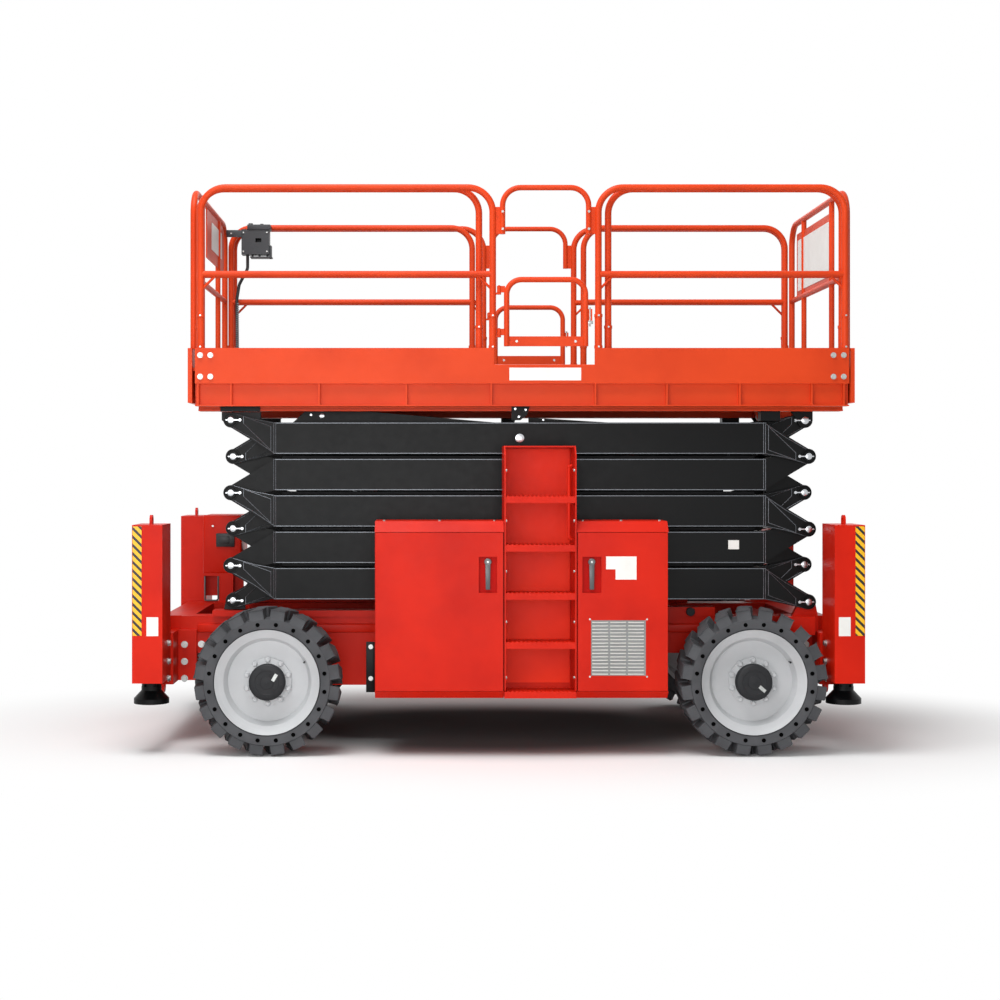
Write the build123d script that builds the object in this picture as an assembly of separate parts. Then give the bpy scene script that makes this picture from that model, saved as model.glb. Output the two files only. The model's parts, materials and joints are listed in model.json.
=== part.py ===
from build123d import *
import math
import os

# Rough-terrain scissor lift: four wheels, four outriggers, five scissor levels and
# a platform with a roll-out deck at each end. Millimetres. X runs along the machine with
# the steered axle at -X, Y across it, Z up from the ground; the origin is the middle of
# the machine on the ground.

# ---------------------------------------------------------------- driving dimensions
HALF_LENGTH = 2171
HALF_WIDTH = 1150
FRONT_AXLE_X = -1373
REAR_AXLE_X = 1517
WHEEL_R = 442
TYRE_WIDTH = 300
TYRE_INNER_Y = HALF_WIDTH - TYRE_WIDTH
KINGPIN_Y = 815
AXLE_Z = WHEEL_R

FRAME_TOP_Z = 790
FRAME_HALF_WIDTH = 600
RAIL_INNER_Y = 430
END_BEAM_X = 1960
POST_WIDTH = 180
POST_INNER_Y = 830
PAD_Z = 302

LEVELS = 5
PIN_PITCH = 224
BASE_PIN_Z = 890
RIGHT_PIN_X = 1924
LINK_LENGTH = 3563
LEFT_PIN_X = RIGHT_PIN_X - math.sqrt(LINK_LENGTH ** 2 - PIN_PITCH ** 2)
CENTRE_X = (LEFT_PIN_X + RIGHT_PIN_X) / 2
TOP_PIN_Z = BASE_PIN_Z + LEVELS * PIN_PITCH
BEAM_DEPTH = 194
KNUCKLE_LENGTH = 270
EYE_R = 47
PIN_R = 25
TUBE_R = 38
CENTRE_PIN_R = 30
FIT = 0.05
GAP = 4
FORK_PLATE = 25
OUTER_ARM_Y = (640, 750)
INNER_ARM_Y = (520, 630)

BARREL_PIN_X = 1213
ROD_PIN_X = -1080
ROD_PIN_RISE = 142
ROD_PIN_R = 30
CLEVIS_TIE = (78, 98)

DECK_LEFT_X = -1831
DECK_RIGHT_X = 2135
FLOOR_TOP_Z = 2300
ROLLOUT_TOP_Z = 2328
TOE_TOP_Z = 2442
RAIL_TOP_Z = 3418
MID_RAIL_Z = 2893
RAIL_R = 20.5
MID_RAIL_R = 19
STILE_R = 17.5
RAIL_Y = 887
NESTED_RAIL_Y = 832
BEND_R = 150
GATE_X = (-20, 600)
GATE_HINGE_X = 14

CABINET_FACE_Y = HALF_WIDTH
CABINET_BACK_Y = 770
CABINET_X = {"left": (-733, 32), "right": (465, 1007)}
LADDER_X = (32, 465)
DOOR_Z = (393, 1331)
DOOR_THICK = 28
SHEET = 6


# ---------------------------------------------------------------- shape helpers
def block(x, y, z):
    """Box between the low and high ends given for each axis."""
    size = Box(x[1] - x[0], y[1] - y[0], z[1] - z[0])
    return Pos((x[0] + x[1]) / 2, (y[0] + y[1]) / 2, (z[0] + z[1]) / 2) * size


def side_slab(outline, y):
    """Outline of (x, z) points extruded across Y."""
    face = make_face(Polyline(*outline, close=True))
    return Pos(0, y[1], 0) * extrude(Plane.XZ * face, y[1] - y[0])


def end_slab(outline, x):
    """Outline of (y, z) points extruded along X."""
    face = make_face(Polyline(*outline, close=True))
    return Pos(x[0], 0, 0) * extrude(Plane.YZ * face, x[1] - x[0])


def rod_y(x, z, radius, y):
    return Pos(x, (y[0] + y[1]) / 2, z) * Rot(90, 0, 0) * Cylinder(radius, y[1] - y[0])


def rod_x(y, z, radius, x):
    return Pos((x[0] + x[1]) / 2, y, z) * Rot(0, 90, 0) * Cylinder(radius, x[1] - x[0])


def rod_z(x, y, radius, z):
    return Pos(x, y, (z[0] + z[1]) / 2) * Cylinder(radius, z[1] - z[0])


def both_sides(shape):
    """The shape and its mirror image across the machine's middle plane."""
    return shape + mirror(shape, about=Plane.XZ)


def fuse(shapes):
    """All shapes joined into one."""
    shapes = list(shapes)
    return shapes[0].fuse(*shapes[1:]) if len(shapes) > 1 else shapes[0]


def bent_tube(points, radius, bends):
    """Tube along straight runs joined by arcs of the bend radius."""
    if len(points) > 2:
        path = FilletPolyline(*points, radius=bends)
    else:
        path = Line(*points)
    start = path @ 0
    section = Plane(origin=start, z_dir=path % 0) * Circle(radius)
    return sweep(section, path=path)


def save(shape, node):
    export_step(shape, f"parts/{node}.step")


# ---------------------------------------------------------------- wheels
def tyre(x, side):
    """Solid tyre, revolved from its section and standing on its lugs' tips."""
    section = make_face(Polyline(
        (292.3, 26), (318, 10), (366, 0), (404, 12), (WHEEL_R, 34), (WHEEL_R, TYRE_WIDTH - 34),
        (404, TYRE_WIDTH - 12), (366, TYRE_WIDTH), (316, TYRE_WIDTH - 10), (316, TYRE_WIDTH - 18),
        (292.3, TYRE_WIDTH - 40), close=True))
    ring = revolve(section, Axis.Y)
    ring = Pos(x, TYRE_INNER_Y, AXLE_Z) * ring
    return ring if side > 0 else mirror(ring, about=Plane.XZ)


def rim(x, side):
    """Pressed rim: barrel with flanges, dished disc, and the planetary hub that turns with it."""
    section = make_face(Polyline(
        (42 + FIT, 60), (92, 60), (92, 196), (240, 196), (262, 150), (268, 22), (290, 22),
        (291.7, 30), (291.7, TYRE_WIDTH - 34), (312, TYRE_WIDTH - 14), (312, TYRE_WIDTH - 4),
        (290, TYRE_WIDTH - 22), (262, TYRE_WIDTH - 40), (240, 210), (140, 214), (140, 232),
        (107, 236), (107, TYRE_WIDTH - 20), (92, TYRE_WIDTH - 8), (0, TYRE_WIDTH - 8), (0, 220),
        (42 + FIT, 220), close=True))
    wheel = Pos(x, TYRE_INNER_Y, AXLE_Z) * revolve(section, Axis.Y)
    return wheel if side > 0 else mirror(wheel, about=Plane.XZ)


SPINDLE_Y = (TYRE_INNER_Y + 56, TYRE_INNER_Y + 214)


def front_axle():
    """Beam with a yoke at each end that holds the kingpin."""
    beam = block((FRONT_AXLE_X - 85, FRONT_AXLE_X + 85), (-690, 690), (AXLE_Z - 75, AXLE_Z + 75))
    bowl = rod_y(FRONT_AXLE_X, AXLE_Z, 150, (-170, 170))
    saddle = block((FRONT_AXLE_X - 110, FRONT_AXLE_X + 110), (-320, 320), (AXLE_Z + 60, 560))
    yoke = []
    for low, high in ((-122, -92), (92, 122)):
        cheek = block((FRONT_AXLE_X - 55, FRONT_AXLE_X + 55), (640, KINGPIN_Y), (AXLE_Z + low, AXLE_Z + high))
        eye = rod_z(FRONT_AXLE_X, KINGPIN_Y, 42, (AXLE_Z + low, AXLE_Z + high))
        yoke.append(cheek + eye)
    neck = block((FRONT_AXLE_X - 55, FRONT_AXLE_X + 55), (640, 700), (AXLE_Z - 122, AXLE_Z + 122))
    kingpin = rod_z(FRONT_AXLE_X, KINGPIN_Y, 22, (AXLE_Z - 128, AXLE_Z + 128))
    end = fuse([neck, kingpin] + yoke)
    return fuse([beam, bowl, saddle, end, mirror(end, about=Plane.XZ)])


def knuckle(side):
    """Steering knuckle: a barrel on the kingpin, the wheel's spindle and the steering arm."""
    barrel = rod_z(FRONT_AXLE_X, KINGPIN_Y, 48, (AXLE_Z - 86, AXLE_Z + 86))
    boss = rod_y(FRONT_AXLE_X, AXLE_Z, 75, (KINGPIN_Y, SPINDLE_Y[0]))
    spindle = rod_y(FRONT_AXLE_X, AXLE_Z, 42, (KINGPIN_Y, SPINDLE_Y[1]))
    arm = block((FRONT_AXLE_X + 20, FRONT_AXLE_X + 190), (KINGPIN_Y - 25, KINGPIN_Y + 5), (AXLE_Z - 60, AXLE_Z - 30))
    shape = fuse([barrel, boss, spindle, arm])
    shape = shape - rod_z(FRONT_AXLE_X, KINGPIN_Y, 22 + FIT, (AXLE_Z - 90, AXLE_Z + 90))
    return shape if side > 0 else mirror(shape, about=Plane.XZ)


def rear_axle():
    """Fixed drive axle with its spindles."""
    beam = block((REAR_AXLE_X - 85, REAR_AXLE_X + 85), (-780, 780), (AXLE_Z - 75, AXLE_Z + 75))
    bowl = rod_y(REAR_AXLE_X, AXLE_Z, 150, (-170, 170))
    saddle = block((REAR_AXLE_X - 110, REAR_AXLE_X + 110), (-320, 320), (AXLE_Z + 60, 560))
    boss = rod_y(REAR_AXLE_X, AXLE_Z, 90, (-SPINDLE_Y[0], SPINDLE_Y[0]))
    spindle = rod_y(REAR_AXLE_X, AXLE_Z, 42, (-SPINDLE_Y[1], SPINDLE_Y[1]))
    return fuse([beam, bowl, saddle, boss, spindle])


# ---------------------------------------------------------------- chassis
TRACK_TOP_Z = 828
TIE_DOWN_R = 25
TIE_DOWN_Y = 480
TIE_DOWN_Z = 345


def chassis_frame():
    """Ladder frame with end beams, cabinet carriers, slide tracks and base pin brackets."""
    side_rail = side_slab([
        (-END_BEAM_X, 560), (-1130, 560), (-1060, 360), (1010, 360), (1080, 560), (END_BEAM_X, 560),
        (END_BEAM_X, FRAME_TOP_Z), (-END_BEAM_X, FRAME_TOP_Z)], (RAIL_INNER_Y, FRAME_HALF_WIDTH))
    solids = [side_rail]
    # carriers: x of the arm that holds a cabinet or ladder, low z, high z
    for x, low, high in ((-690, 420, 500), (-60, 420, 500), (500, 420, 500), (960, 420, 500),
                         (-690, 700, 760), (-60, 700, 760), (500, 700, 760), (960, 700, 760)):
        solids.append(block((x - 30, x + 30), (FRAME_HALF_WIDTH - 5, CABINET_BACK_Y), (low, high)))
    solids.append(block((220, 280), (FRAME_HALF_WIDTH - 5, 792), (420, 500)))
    solids.append(block((220, 280), (FRAME_HALF_WIDTH - 5, 792), (700, 760)))
    # tracks that the lower slide shoes run on, and the guide behind them
    solids.append(block((-1760, 60), (510, 640), (FRAME_TOP_Z, TRACK_TOP_Z)))
    solids.append(block((1060, 1370), (510, 620), (FRAME_TOP_Z, 848)))
    # base pin bracket: a tongue between the fork plates of the lowest outer arm
    tongue = (OUTER_ARM_Y[0] + FORK_PLATE + GAP, OUTER_ARM_Y[1] - FORK_PLATE - GAP)
    bracket = side_slab([(1830, 700), (1990, 700), (1990, 800), (RIGHT_PIN_X + EYE_R, BASE_PIN_Z),
                         (RIGHT_PIN_X - EYE_R, BASE_PIN_Z), (1830, 800)], tongue)
    bracket = bracket + rod_y(RIGHT_PIN_X, BASE_PIN_Z, EYE_R, tongue)
    bracket = bracket - rod_y(RIGHT_PIN_X, BASE_PIN_Z, PIN_R + FIT, (600, 800))
    solids.append(bracket)
    solids.append(block((1780, END_BEAM_X), (560, 780), (690, 800)))
    sides = both_sides(fuse(solids))
    centre = []
    for x, low, high in ((-1700, 600, 760), (-1000, 420, 700), (0, 420, 600), (900, 420, 700), (1750, 600, 760)):
        centre.append(block((x - 60, x + 60), (-RAIL_INNER_Y - 5, RAIL_INNER_Y + 5), (low, high)))
    for end in (-1, 1):
        beam = block((END_BEAM_X, 2110), (-FRAME_HALF_WIDTH, FRAME_HALF_WIDTH), (392, 706))
        step = block((END_BEAM_X - 70, 2080), (-560, 560), (392, FRAME_TOP_Z))
        seat = block((1975, 2130), (FRAME_HALF_WIDTH - 5, POST_INNER_Y), (392, 706))
        shape = fuse([beam, step, seat, mirror(seat, about=Plane.XZ)])
        if end < 0:
            shape = mirror(shape, about=Plane.YZ)
        centre.append(shape)
    return fuse([sides] + centre)


def tie_down_lugs():
    """Four lashing lugs that hang below the end beams."""
    x = (2080, 2100)
    plate = end_slab([(TIE_DOWN_Y - 75, 392), (TIE_DOWN_Y + 75, 392), (TIE_DOWN_Y + 45, TIE_DOWN_Z),
                      (TIE_DOWN_Y - 45, TIE_DOWN_Z)], x)
    lug = plate + rod_x(TIE_DOWN_Y, TIE_DOWN_Z, 45, x) - rod_x(TIE_DOWN_Y, TIE_DOWN_Z, TIE_DOWN_R, x)
    pair = [lug, mirror(lug, about=Plane.XZ)]
    return Compound(pair + [mirror(one, about=Plane.YZ) for one in pair])


def outrigger_boxes():
    """Four square housings, open below, that the outrigger legs slide in."""
    outside = block((HALF_LENGTH - POST_WIDTH, HALF_LENGTH), (POST_INNER_Y, HALF_WIDTH), (437, 1376))
    inside = block((HALF_LENGTH - 170, HALF_LENGTH - 10), (POST_INNER_Y + 10, HALF_WIDTH - 10), (430, 1366))
    lug = block((HALF_LENGTH - 98, HALF_LENGTH - 82), (960, 1020), (1376, 1402))
    lug = lug + rod_x(990, 1402, 30, (HALF_LENGTH - 98, HALF_LENGTH - 82))
    lug = lug - rod_x(990, 1402, 14, (HALF_LENGTH - 100, HALF_LENGTH - 80))
    housing = outside - inside + lug
    pair = [housing, mirror(housing, about=Plane.XZ)]
    return Compound(pair + [mirror(one, about=Plane.YZ) for one in pair])


def outrigger_leg(end, side):
    """Square leg, round stem, toothed collar and conical foot pad."""
    x = HALF_LENGTH - POST_WIDTH / 2
    y = (POST_INNER_Y + HALF_WIDTH) / 2
    leg = block((x - 70, x + 70), (y - 140, y + 140), (445, 1330))
    stem = rod_z(x, y, 40, (350, 450))
    collar = rod_z(x, y, 58, (402, 436))
    for turn in range(0, 360, 60):
        notch = Pos(x, y, 0) * Rot(0, 0, turn) * block((46, 70), (-10, 10), (400, 418))
        collar = collar - notch
    cone = Polyline((0, 0), (105, 0), (105, 30), (60, 78), (60, 100), (0, 100), close=True)
    pad = Pos(x, y, PAD_Z) * Rot(90, 0, 0) * revolve(make_face(cone), Axis.Y)
    shape = fuse([leg, stem, collar, pad])
    if side < 0:
        shape = mirror(shape, about=Plane.XZ)
    if end < 0:
        shape = mirror(shape, about=Plane.YZ)
    return shape


# ---------------------------------------------------------------- cabinets and ladders
def cabinet_shell(x):
    """Sheet cabinet with a bevelled top and bottom edge and an open front."""
    face, back = CABINET_FACE_Y, CABINET_BACK_Y
    outline = [(back, 344), (face - 60, 344), (face, DOOR_Z[0] - 2), (face, DOOR_Z[1] + 3),
               (face - 60, 1397), (back, 1397)]
    inner = [(back + SHEET, 350), (face - 62, 350), (face - 8, DOOR_Z[0] + 2), (face - 8, DOOR_Z[1] - 3),
             (face - 62, 1391), (back + SHEET, 1391)]
    shell = end_slab(outline, x) - end_slab(inner, (x[0] + SHEET, x[1] - SHEET))
    doorway = block((x[0] - 1, x[1] + 1), (face - DOOR_THICK - 5, face + 1), (DOOR_Z[0] - 2, DOOR_Z[1] + 3))
    return shell - doorway


def cabinets(side):
    shape = [cabinet_shell(CABINET_X["left"]), cabinet_shell(CABINET_X["right"])]
    if side < 0:
        shape = [mirror(one, about=Plane.XZ) for one in shape]
    return Compound(shape)


def door(which, side):
    """Door panel with a recessed handle; the right-hand one has the louvre field."""
    low, high = CABINET_X[which]
    x = (low + 5, high - 5)
    panel = block(x, (CABINET_FACE_Y - DOOR_THICK, CABINET_FACE_Y), DOOR_Z)
    handle_x = (-117, -9) if which == "left" else (497, 609)
    panel = panel - block(handle_x, (CABINET_FACE_Y - 18, CABINET_FACE_Y + 1), (974, 1188))
    middle = sum(handle_x) / 2
    lever = block((middle - 14, middle + 14), (CABINET_FACE_Y - 19, CABINET_FACE_Y - 6), (1010, 1150))
    panel = panel + lever
    if which == "right":
        slots = []
        for column in range(3):
            left = 556 + column * 108
            for row in range(8):
                low_z = 496 + row * 38
                slots.append(block((left, left + 92), (CABINET_FACE_Y - 40, CABINET_FACE_Y + 1), (low_z, low_z + 16)))
        panel = panel - Compound(slots)
    if side < 0:
        panel = mirror(panel, about=Plane.XZ)
    return panel


def ladder(side):
    """Recessed boarding ladder: side plates, back plate, cap and five treads."""
    low, high = LADDER_X[0] + 3, LADDER_X[1] - 3
    solids = []
    for x in ((low, low + 8), (high - 8, high)):
        solids.append(end_slab([(792, 344), (1090, 344), (HALF_WIDTH, 400), (HALF_WIDTH, 1790), (1094, 1846),
                                (792, 1846)], x))
    solids.append(block((low, high), (792, 800), (344, 1846)))
    solids.append(block((low, high), (792, 1094), (1838, 1846)))
    for z in (387, 680, 971, 1257, 1545):
        solids.append(block((low, high), (960, HALF_WIDTH - 4), (z - 8, z)))
        solids.append(block((low, high), (HALF_WIDTH - 10, HALF_WIDTH - 4), (z - 38, z)))
        solids.append(block((low, high), (960, 966), (z - 38, z)))
    shape = fuse(solids)
    return shape if side > 0 else mirror(shape, about=Plane.XZ)


def valve_cabinet():
    """Box for the ground controls on the front end, with a bevelled lid."""
    body = end_slab([(520, 900), (900, 900), (900, 1330), (860, 1390), (520, 1390)], (-1975, -1706))
    leg = block((-1975, -1880), (520, FRAME_HALF_WIDTH), (FRAME_TOP_Z, 905))
    window = block((-1935, -1746), (870, 901), (960, 1120))
    return body + leg - window


# ---------------------------------------------------------------- scissor stack
def level_z(level):
    return BASE_PIN_Z + (level - 0.5) * PIN_PITCH


def end_pins(family, level):
    """Height of the left and right pin of an arm; outer odd arms rise to the left."""
    rises_right = (level % 2 == 0) == (family == "outer")
    rise = PIN_PITCH / 2 if rises_right else -PIN_PITCH / 2
    return level_z(level) - rise, level_z(level) + rise


def knuckle_plate(pin_x, pin_z, seam_x, mid_z, y):
    """Tapered plate from the beam's end to a round eye."""
    half = BEAM_DEPTH / 2
    web = side_slab([(seam_x, mid_z - half), (seam_x, mid_z + half), (pin_x, pin_z + EYE_R),
                     (pin_x, pin_z - EYE_R)], y)
    return web + rod_y(pin_x, pin_z, EYE_R, y)


def arm_pair(family, level):
    """Near and far arm of one level, joined by the shaft that this pair carries.

    Odd levels end in forks and carry the left shafts; even levels end in tongues and
    carry the right shafts. The lowest outer and the highest inner pair also carry the
    short pins of the chassis and platform brackets.
    """
    y0, y1 = OUTER_ARM_Y if family == "outer" else INNER_ARM_Y
    fork = level % 2 == 1
    mid_z = level_z(level)
    half = BEAM_DEPTH / 2
    seam_x = (LEFT_PIN_X + KNUCKLE_LENGTH, RIGHT_PIN_X - KNUCKLE_LENGTH)
    pins = list(zip((LEFT_PIN_X, RIGHT_PIN_X), end_pins(family, level), seam_x))
    solids = [block(seam_x, (y0, y1), (mid_z - half, mid_z + half))]
    if fork:
        plates = ((y0, y0 + FORK_PLATE), (y1 - FORK_PLATE, y1))
    else:
        plates = ((y0 + FORK_PLATE + GAP, y1 - FORK_PLATE - GAP),)
    for pin_x, pin_z, start_x in pins:
        for plate in plates:
            solids.append(knuckle_plate(pin_x, pin_z, start_x, mid_z, plate))
    far = fuse(solids)
    # bores for the shafts that the neighbouring pair carries
    carried = pins[0] if fork else pins[1]
    own_short_pin = (family, level) in (("outer", 1), ("inner", LEVELS))
    other = pins[1] if fork else pins[0]
    if not own_short_pin:
        far = far - rod_y(other[0], other[1], PIN_R + FIT, (y0 - 5, y1 + 5))
    solids = [far]
    head = (y1, y1 + 12) if fork else (y1 + 2, y1 + 12)
    if own_short_pin:
        solids.append(rod_y(other[0], other[1], PIN_R, (y0, y1 + 12)))
    if family == "outer":
        far = fuse(solids) - rod_y(CENTRE_X, mid_z, CENTRE_PIN_R + FIT, (y0 - 5, y1 + 5))
        solids = [far]
    else:
        solids.append(rod_y(CENTRE_X, mid_z, 60, (y1 - 5, y1 + 6)))
        solids.append(rod_y(CENTRE_X, mid_z, CENTRE_PIN_R, (y1 - 5, OUTER_ARM_Y[1] + 4)))
        solids.append(rod_y(CENTRE_X, mid_z, 38, (OUTER_ARM_Y[1] + 3, OUTER_ARM_Y[1] + 13)))
    pair = both_sides(fuse(solids))
    inset = 0 if fork else GAP
    shaft = [rod_y(carried[0], carried[1], PIN_R, (-y1 - 12, y1 + 12)),
             rod_y(carried[0], carried[1], TUBE_R, (-y0 + inset, y0 - inset))]
    for side in (-1, 1):
        ends = sorted((side * head[0], side * head[1]))
        shaft.append(rod_y(carried[0], carried[1], PIN_R + 8, ends))
    solids = [pair] + shaft
    if family == "inner" and level in (2, 4):
        solids.append(rod_y(BARREL_PIN_X, mid_z, TUBE_R, (-y0 - 5, y0 + 5)))
    if family == "inner" and level in (3, 5):
        # clevis of the lift cylinder: two lugs on stub tubes, tied above the rod's eye
        top = mid_z + ROD_PIN_RISE
        for side in (-1, 1):
            plate_y = sorted((side * 70, side * 92))
            solids.append(rod_y(ROD_PIN_X, mid_z, TUBE_R, sorted((side * 70, side * (y0 + 5)))))
            solids.append(side_slab([(ROD_PIN_X - 70, mid_z - 30), (ROD_PIN_X + 110, mid_z - 30),
                                     (ROD_PIN_X + 50, top), (ROD_PIN_X + 45, top + CLEVIS_TIE[1]),
                                     (ROD_PIN_X - 45, top + CLEVIS_TIE[1]), (ROD_PIN_X - 50, top)], plate_y))
            solids.append(rod_y(ROD_PIN_X, top, 50, plate_y))
        solids.append(block((ROD_PIN_X - 45, ROD_PIN_X + 45), (-92, 92), (top + CLEVIS_TIE[0], top + CLEVIS_TIE[1])))
    return fuse(solids)


def slide_shoes(x, z, low, high, y_pair):
    """Pair of slide shoes, each between the fork plates of its arm."""
    y = (y_pair[0] + FORK_PLATE + GAP, y_pair[1] - FORK_PLATE - GAP)
    shoe = block((x + low[0], x + high[0]), y, (z + low[1], z + high[1]))
    shoe = shoe - rod_y(x, z, PIN_R + FIT, (y[0] - 5, y[1] + 5))
    return Compound([shoe, mirror(shoe, about=Plane.XZ)])


# ---------------------------------------------------------------- lift cylinders
CYLINDER_RISE = PIN_PITCH + ROD_PIN_RISE
CYLINDER_RUN = BARREL_PIN_X - ROD_PIN_X
CYLINDER_LENGTH = math.hypot(CYLINDER_RUN, CYLINDER_RISE)
CYLINDER_TILT = math.degrees(math.atan2(CYLINDER_RISE, CYLINDER_RUN))


def along_cylinder(shape, level):
    """Moves a shape built along +X from the origin onto the line from barrel pin to rod pin."""
    return Pos(BARREL_PIN_X, 0, level_z(level)) * Rot(0, 180 + CYLINDER_TILT, 0) * shape


def cylinder_barrel(level):
    tube_end = CYLINDER_LENGTH - 330
    body = rod_x(0, 0, 85, (90, tube_end)) - rod_x(0, 0, 70, (120, tube_end + 1))
    gland = rod_x(0, 0, 95, (tube_end - 90, tube_end)) - rod_x(0, 0, 50 + FIT, (tube_end - 95, tube_end + 1))
    eye = rod_y(0, 0, 80, (-60, 60)) + rod_x(0, 0, 70, (0, 125))
    shape = fuse([body, gland, eye]) - rod_y(0, 0, TUBE_R + FIT, (-90, 90))
    return along_cylinder(shape, level)


def cylinder_rod(level):
    rod = rod_x(0, 0, 50, (900, CYLINDER_LENGTH - 40))
    piston = rod_x(0, 0, 70 - FIT, (860, 930))
    eye = rod_y(CYLINDER_LENGTH, 0, 62, (-60, 60))
    pin = rod_y(CYLINDER_LENGTH, 0, ROD_PIN_R, (-66, 66))
    return along_cylinder(fuse([rod, piston, eye, pin]), level)


# ---------------------------------------------------------------- platform
RIB_X = (-1813, -1613, -1079, -550, -35, 597, 1031, 1473, 1909, 2104)
JOIST_Z = 2065


def main_deck():
    """Floor, toe boards, side channels with ribs, joists, and the brackets of the top pins."""
    solids = [block((DECK_LEFT_X, DECK_RIGHT_X), (-900, 900), (FLOOR_TOP_Z - 8, FLOOR_TOP_Z))]
    side = [block((DECK_LEFT_X, DECK_RIGHT_X), (895, 915), (2226, TOE_TOP_Z)),
            block((DECK_LEFT_X, DECK_RIGHT_X), (866, 915), (TOE_TOP_Z - 8, TOE_TOP_Z)),
            block((DECK_LEFT_X, DECK_RIGHT_X), (872, 880), (2090, FLOOR_TOP_Z)),
            block((DECK_LEFT_X, DECK_RIGHT_X), (830, 912), (2090, 2098)),
            block((DECK_LEFT_X, DECK_RIGHT_X), (872, 912), (2226, 2234)),
            block((DECK_LEFT_X, DECK_RIGHT_X), (640, 652), (JOIST_Z, FLOOR_TOP_Z)),
            block((DECK_LEFT_X, DECK_RIGHT_X), (738, 750), (JOIST_Z, FLOOR_TOP_Z)),
            block((DECK_LEFT_X, DECK_RIGHT_X), (632, 758), (JOIST_Z, JOIST_Z + 10))]
    for x in RIB_X:
        side.append(block((x - 5, x + 5), (876, 912), (2090, 2230)))
    side.append(block((1635, 1750), (645, 745), (2005, JOIST_Z + 5)))
    tongue = (INNER_ARM_Y[0] + FORK_PLATE + GAP, INNER_ARM_Y[1] - FORK_PLATE - GAP)
    bracket = side_slab([(RIGHT_PIN_X - EYE_R, TOP_PIN_Z), (RIGHT_PIN_X + EYE_R, TOP_PIN_Z),
                         (RIGHT_PIN_X + 90, FLOOR_TOP_Z - 4), (RIGHT_PIN_X - 150, FLOOR_TOP_Z - 4)], tongue)
    bracket = bracket + rod_y(RIGHT_PIN_X, TOP_PIN_Z, EYE_R, tongue)
    side.append(bracket)
    far = fuse(side) - rod_y(RIGHT_PIN_X, TOP_PIN_Z, PIN_R + FIT, (500, 620))
    far = far - block(GATE_X, (860, 920), (2334, TOE_TOP_Z + 1))
    solids.append(both_sides(far))
    for x in RIB_X:
        low = 2150 if abs(x - RIGHT_PIN_X) > 100 else 2190
        solids.append(block((x - 20, x + 20), (-876, 876), (low, FLOOR_TOP_Z - 4)))
    return fuse(solids)


def rail_panel(x, y, base_z):
    """Inverted U of tube with a middle rail."""
    hoop = bent_tube([(x[0], y, base_z), (x[0], y, RAIL_TOP_Z), (x[1], y, RAIL_TOP_Z), (x[1], y, base_z)],
                     RAIL_R, BEND_R)
    return hoop + rod_x(y, MID_RAIL_Z, MID_RAIL_R, x)


def main_rails():
    """Side rails, the hoop over each gateway, and the gate's hinge lugs."""
    solids = [rail_panel((-1799, -25), RAIL_Y, TOE_TOP_Z), rail_panel((617, 2116), RAIL_Y, TOE_TOP_Z)]
    hoop = bent_tube([(35, RAIL_Y, 3136), (35, RAIL_Y, RAIL_TOP_Z), (558, RAIL_Y, RAIL_TOP_Z),
                      (558, RAIL_Y, 3136)], 17, 110)
    left = block((-25, 35), (RAIL_Y - 6, RAIL_Y + 6), (3136, 3300))
    right = block((558, 617), (RAIL_Y - 6, RAIL_Y + 6), (3136, 3300))
    solids.append(fuse([hoop, left, right]))
    far = fuse(solids)
    for z in (2520, 2780):
        lug = block((-25, GATE_HINGE_X), (RAIL_Y - 8, RAIL_Y + 8), (z - 12, z))
        far = fuse([far, lug, rod_z(GATE_HINGE_X, RAIL_Y, 12, (z - 12, z)),
                    rod_z(GATE_HINGE_X, RAIL_Y, 7, (z - 12, z + 44))])
    return both_sides(far)


def gate(side):
    """Swing gate: hoop of thin tube, flat kick bar, two hinge sleeves and a latch plate."""
    hoop = bent_tube([(60, RAIL_Y, 2454), (60, RAIL_Y, 2859), (539, RAIL_Y, 2859), (539, RAIL_Y, 2454)], 17, 90)
    bar = block((43, 556), (RAIL_Y - 5, RAIL_Y + 5), (2454, 2514))
    solids = [hoop, bar]
    for z in (2520, 2780):
        solids.append(block((GATE_HINGE_X, 50), (RAIL_Y - 6, RAIL_Y + 6), (z + 1, z + 40)))
        solids.append(rod_z(GATE_HINGE_X, RAIL_Y, 13, (z + 1, z + 40)))
    solids.append(block((539, 580), (RAIL_Y - 4, RAIL_Y + 4), (2600, 2680)))
    shape = fuse(solids)
    for z in (2520, 2780):
        shape = shape - rod_z(GATE_HINGE_X, RAIL_Y, 7 + FIT, (z, z + 41))
    return shape if side > 0 else mirror(shape, about=Plane.XZ)


def rollout(end_x, inner_x, panel_y, panel_z):
    """Roll-out deck with its end plate, side rails and end rails."""
    out = 1 if end_x > inner_x else -1
    face_x = end_x - out * 26
    slab_x = sorted((inner_x, face_x + out * 5))
    plate_x = sorted((face_x, end_x))
    solids = [block(slab_x, (-855, 855), (FLOOR_TOP_Z + 6, ROLLOUT_TOP_Z)),
              block(plate_x, (-905, 905), (2110, TOE_TOP_Z))]
    rail_x = sorted((inner_x + out * 21, end_x - out * 61))
    side = rail_panel(rail_x, NESTED_RAIL_Y, ROLLOUT_TOP_Z)
    solids += [side, mirror(side, about=Plane.XZ)]
    tube_x = end_x - out * 21
    hoop = bent_tube([(tube_x, -788, TOE_TOP_Z), (tube_x, -788, RAIL_TOP_Z), (tube_x, 788, RAIL_TOP_Z),
                      (tube_x, 788, TOE_TOP_Z)], RAIL_R, BEND_R)
    solids.append(hoop)
    solids.append(rod_y(tube_x, MID_RAIL_Z, MID_RAIL_R, (-788, 788)))
    for y in (-400, 400):
        solids.append(rod_z(tube_x, y, STILE_R, (TOE_TOP_Z - 5, RAIL_TOP_Z)))
    solids.append(block((tube_x - 4, tube_x + 4), panel_y, panel_z))
    return fuse(solids)


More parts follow.
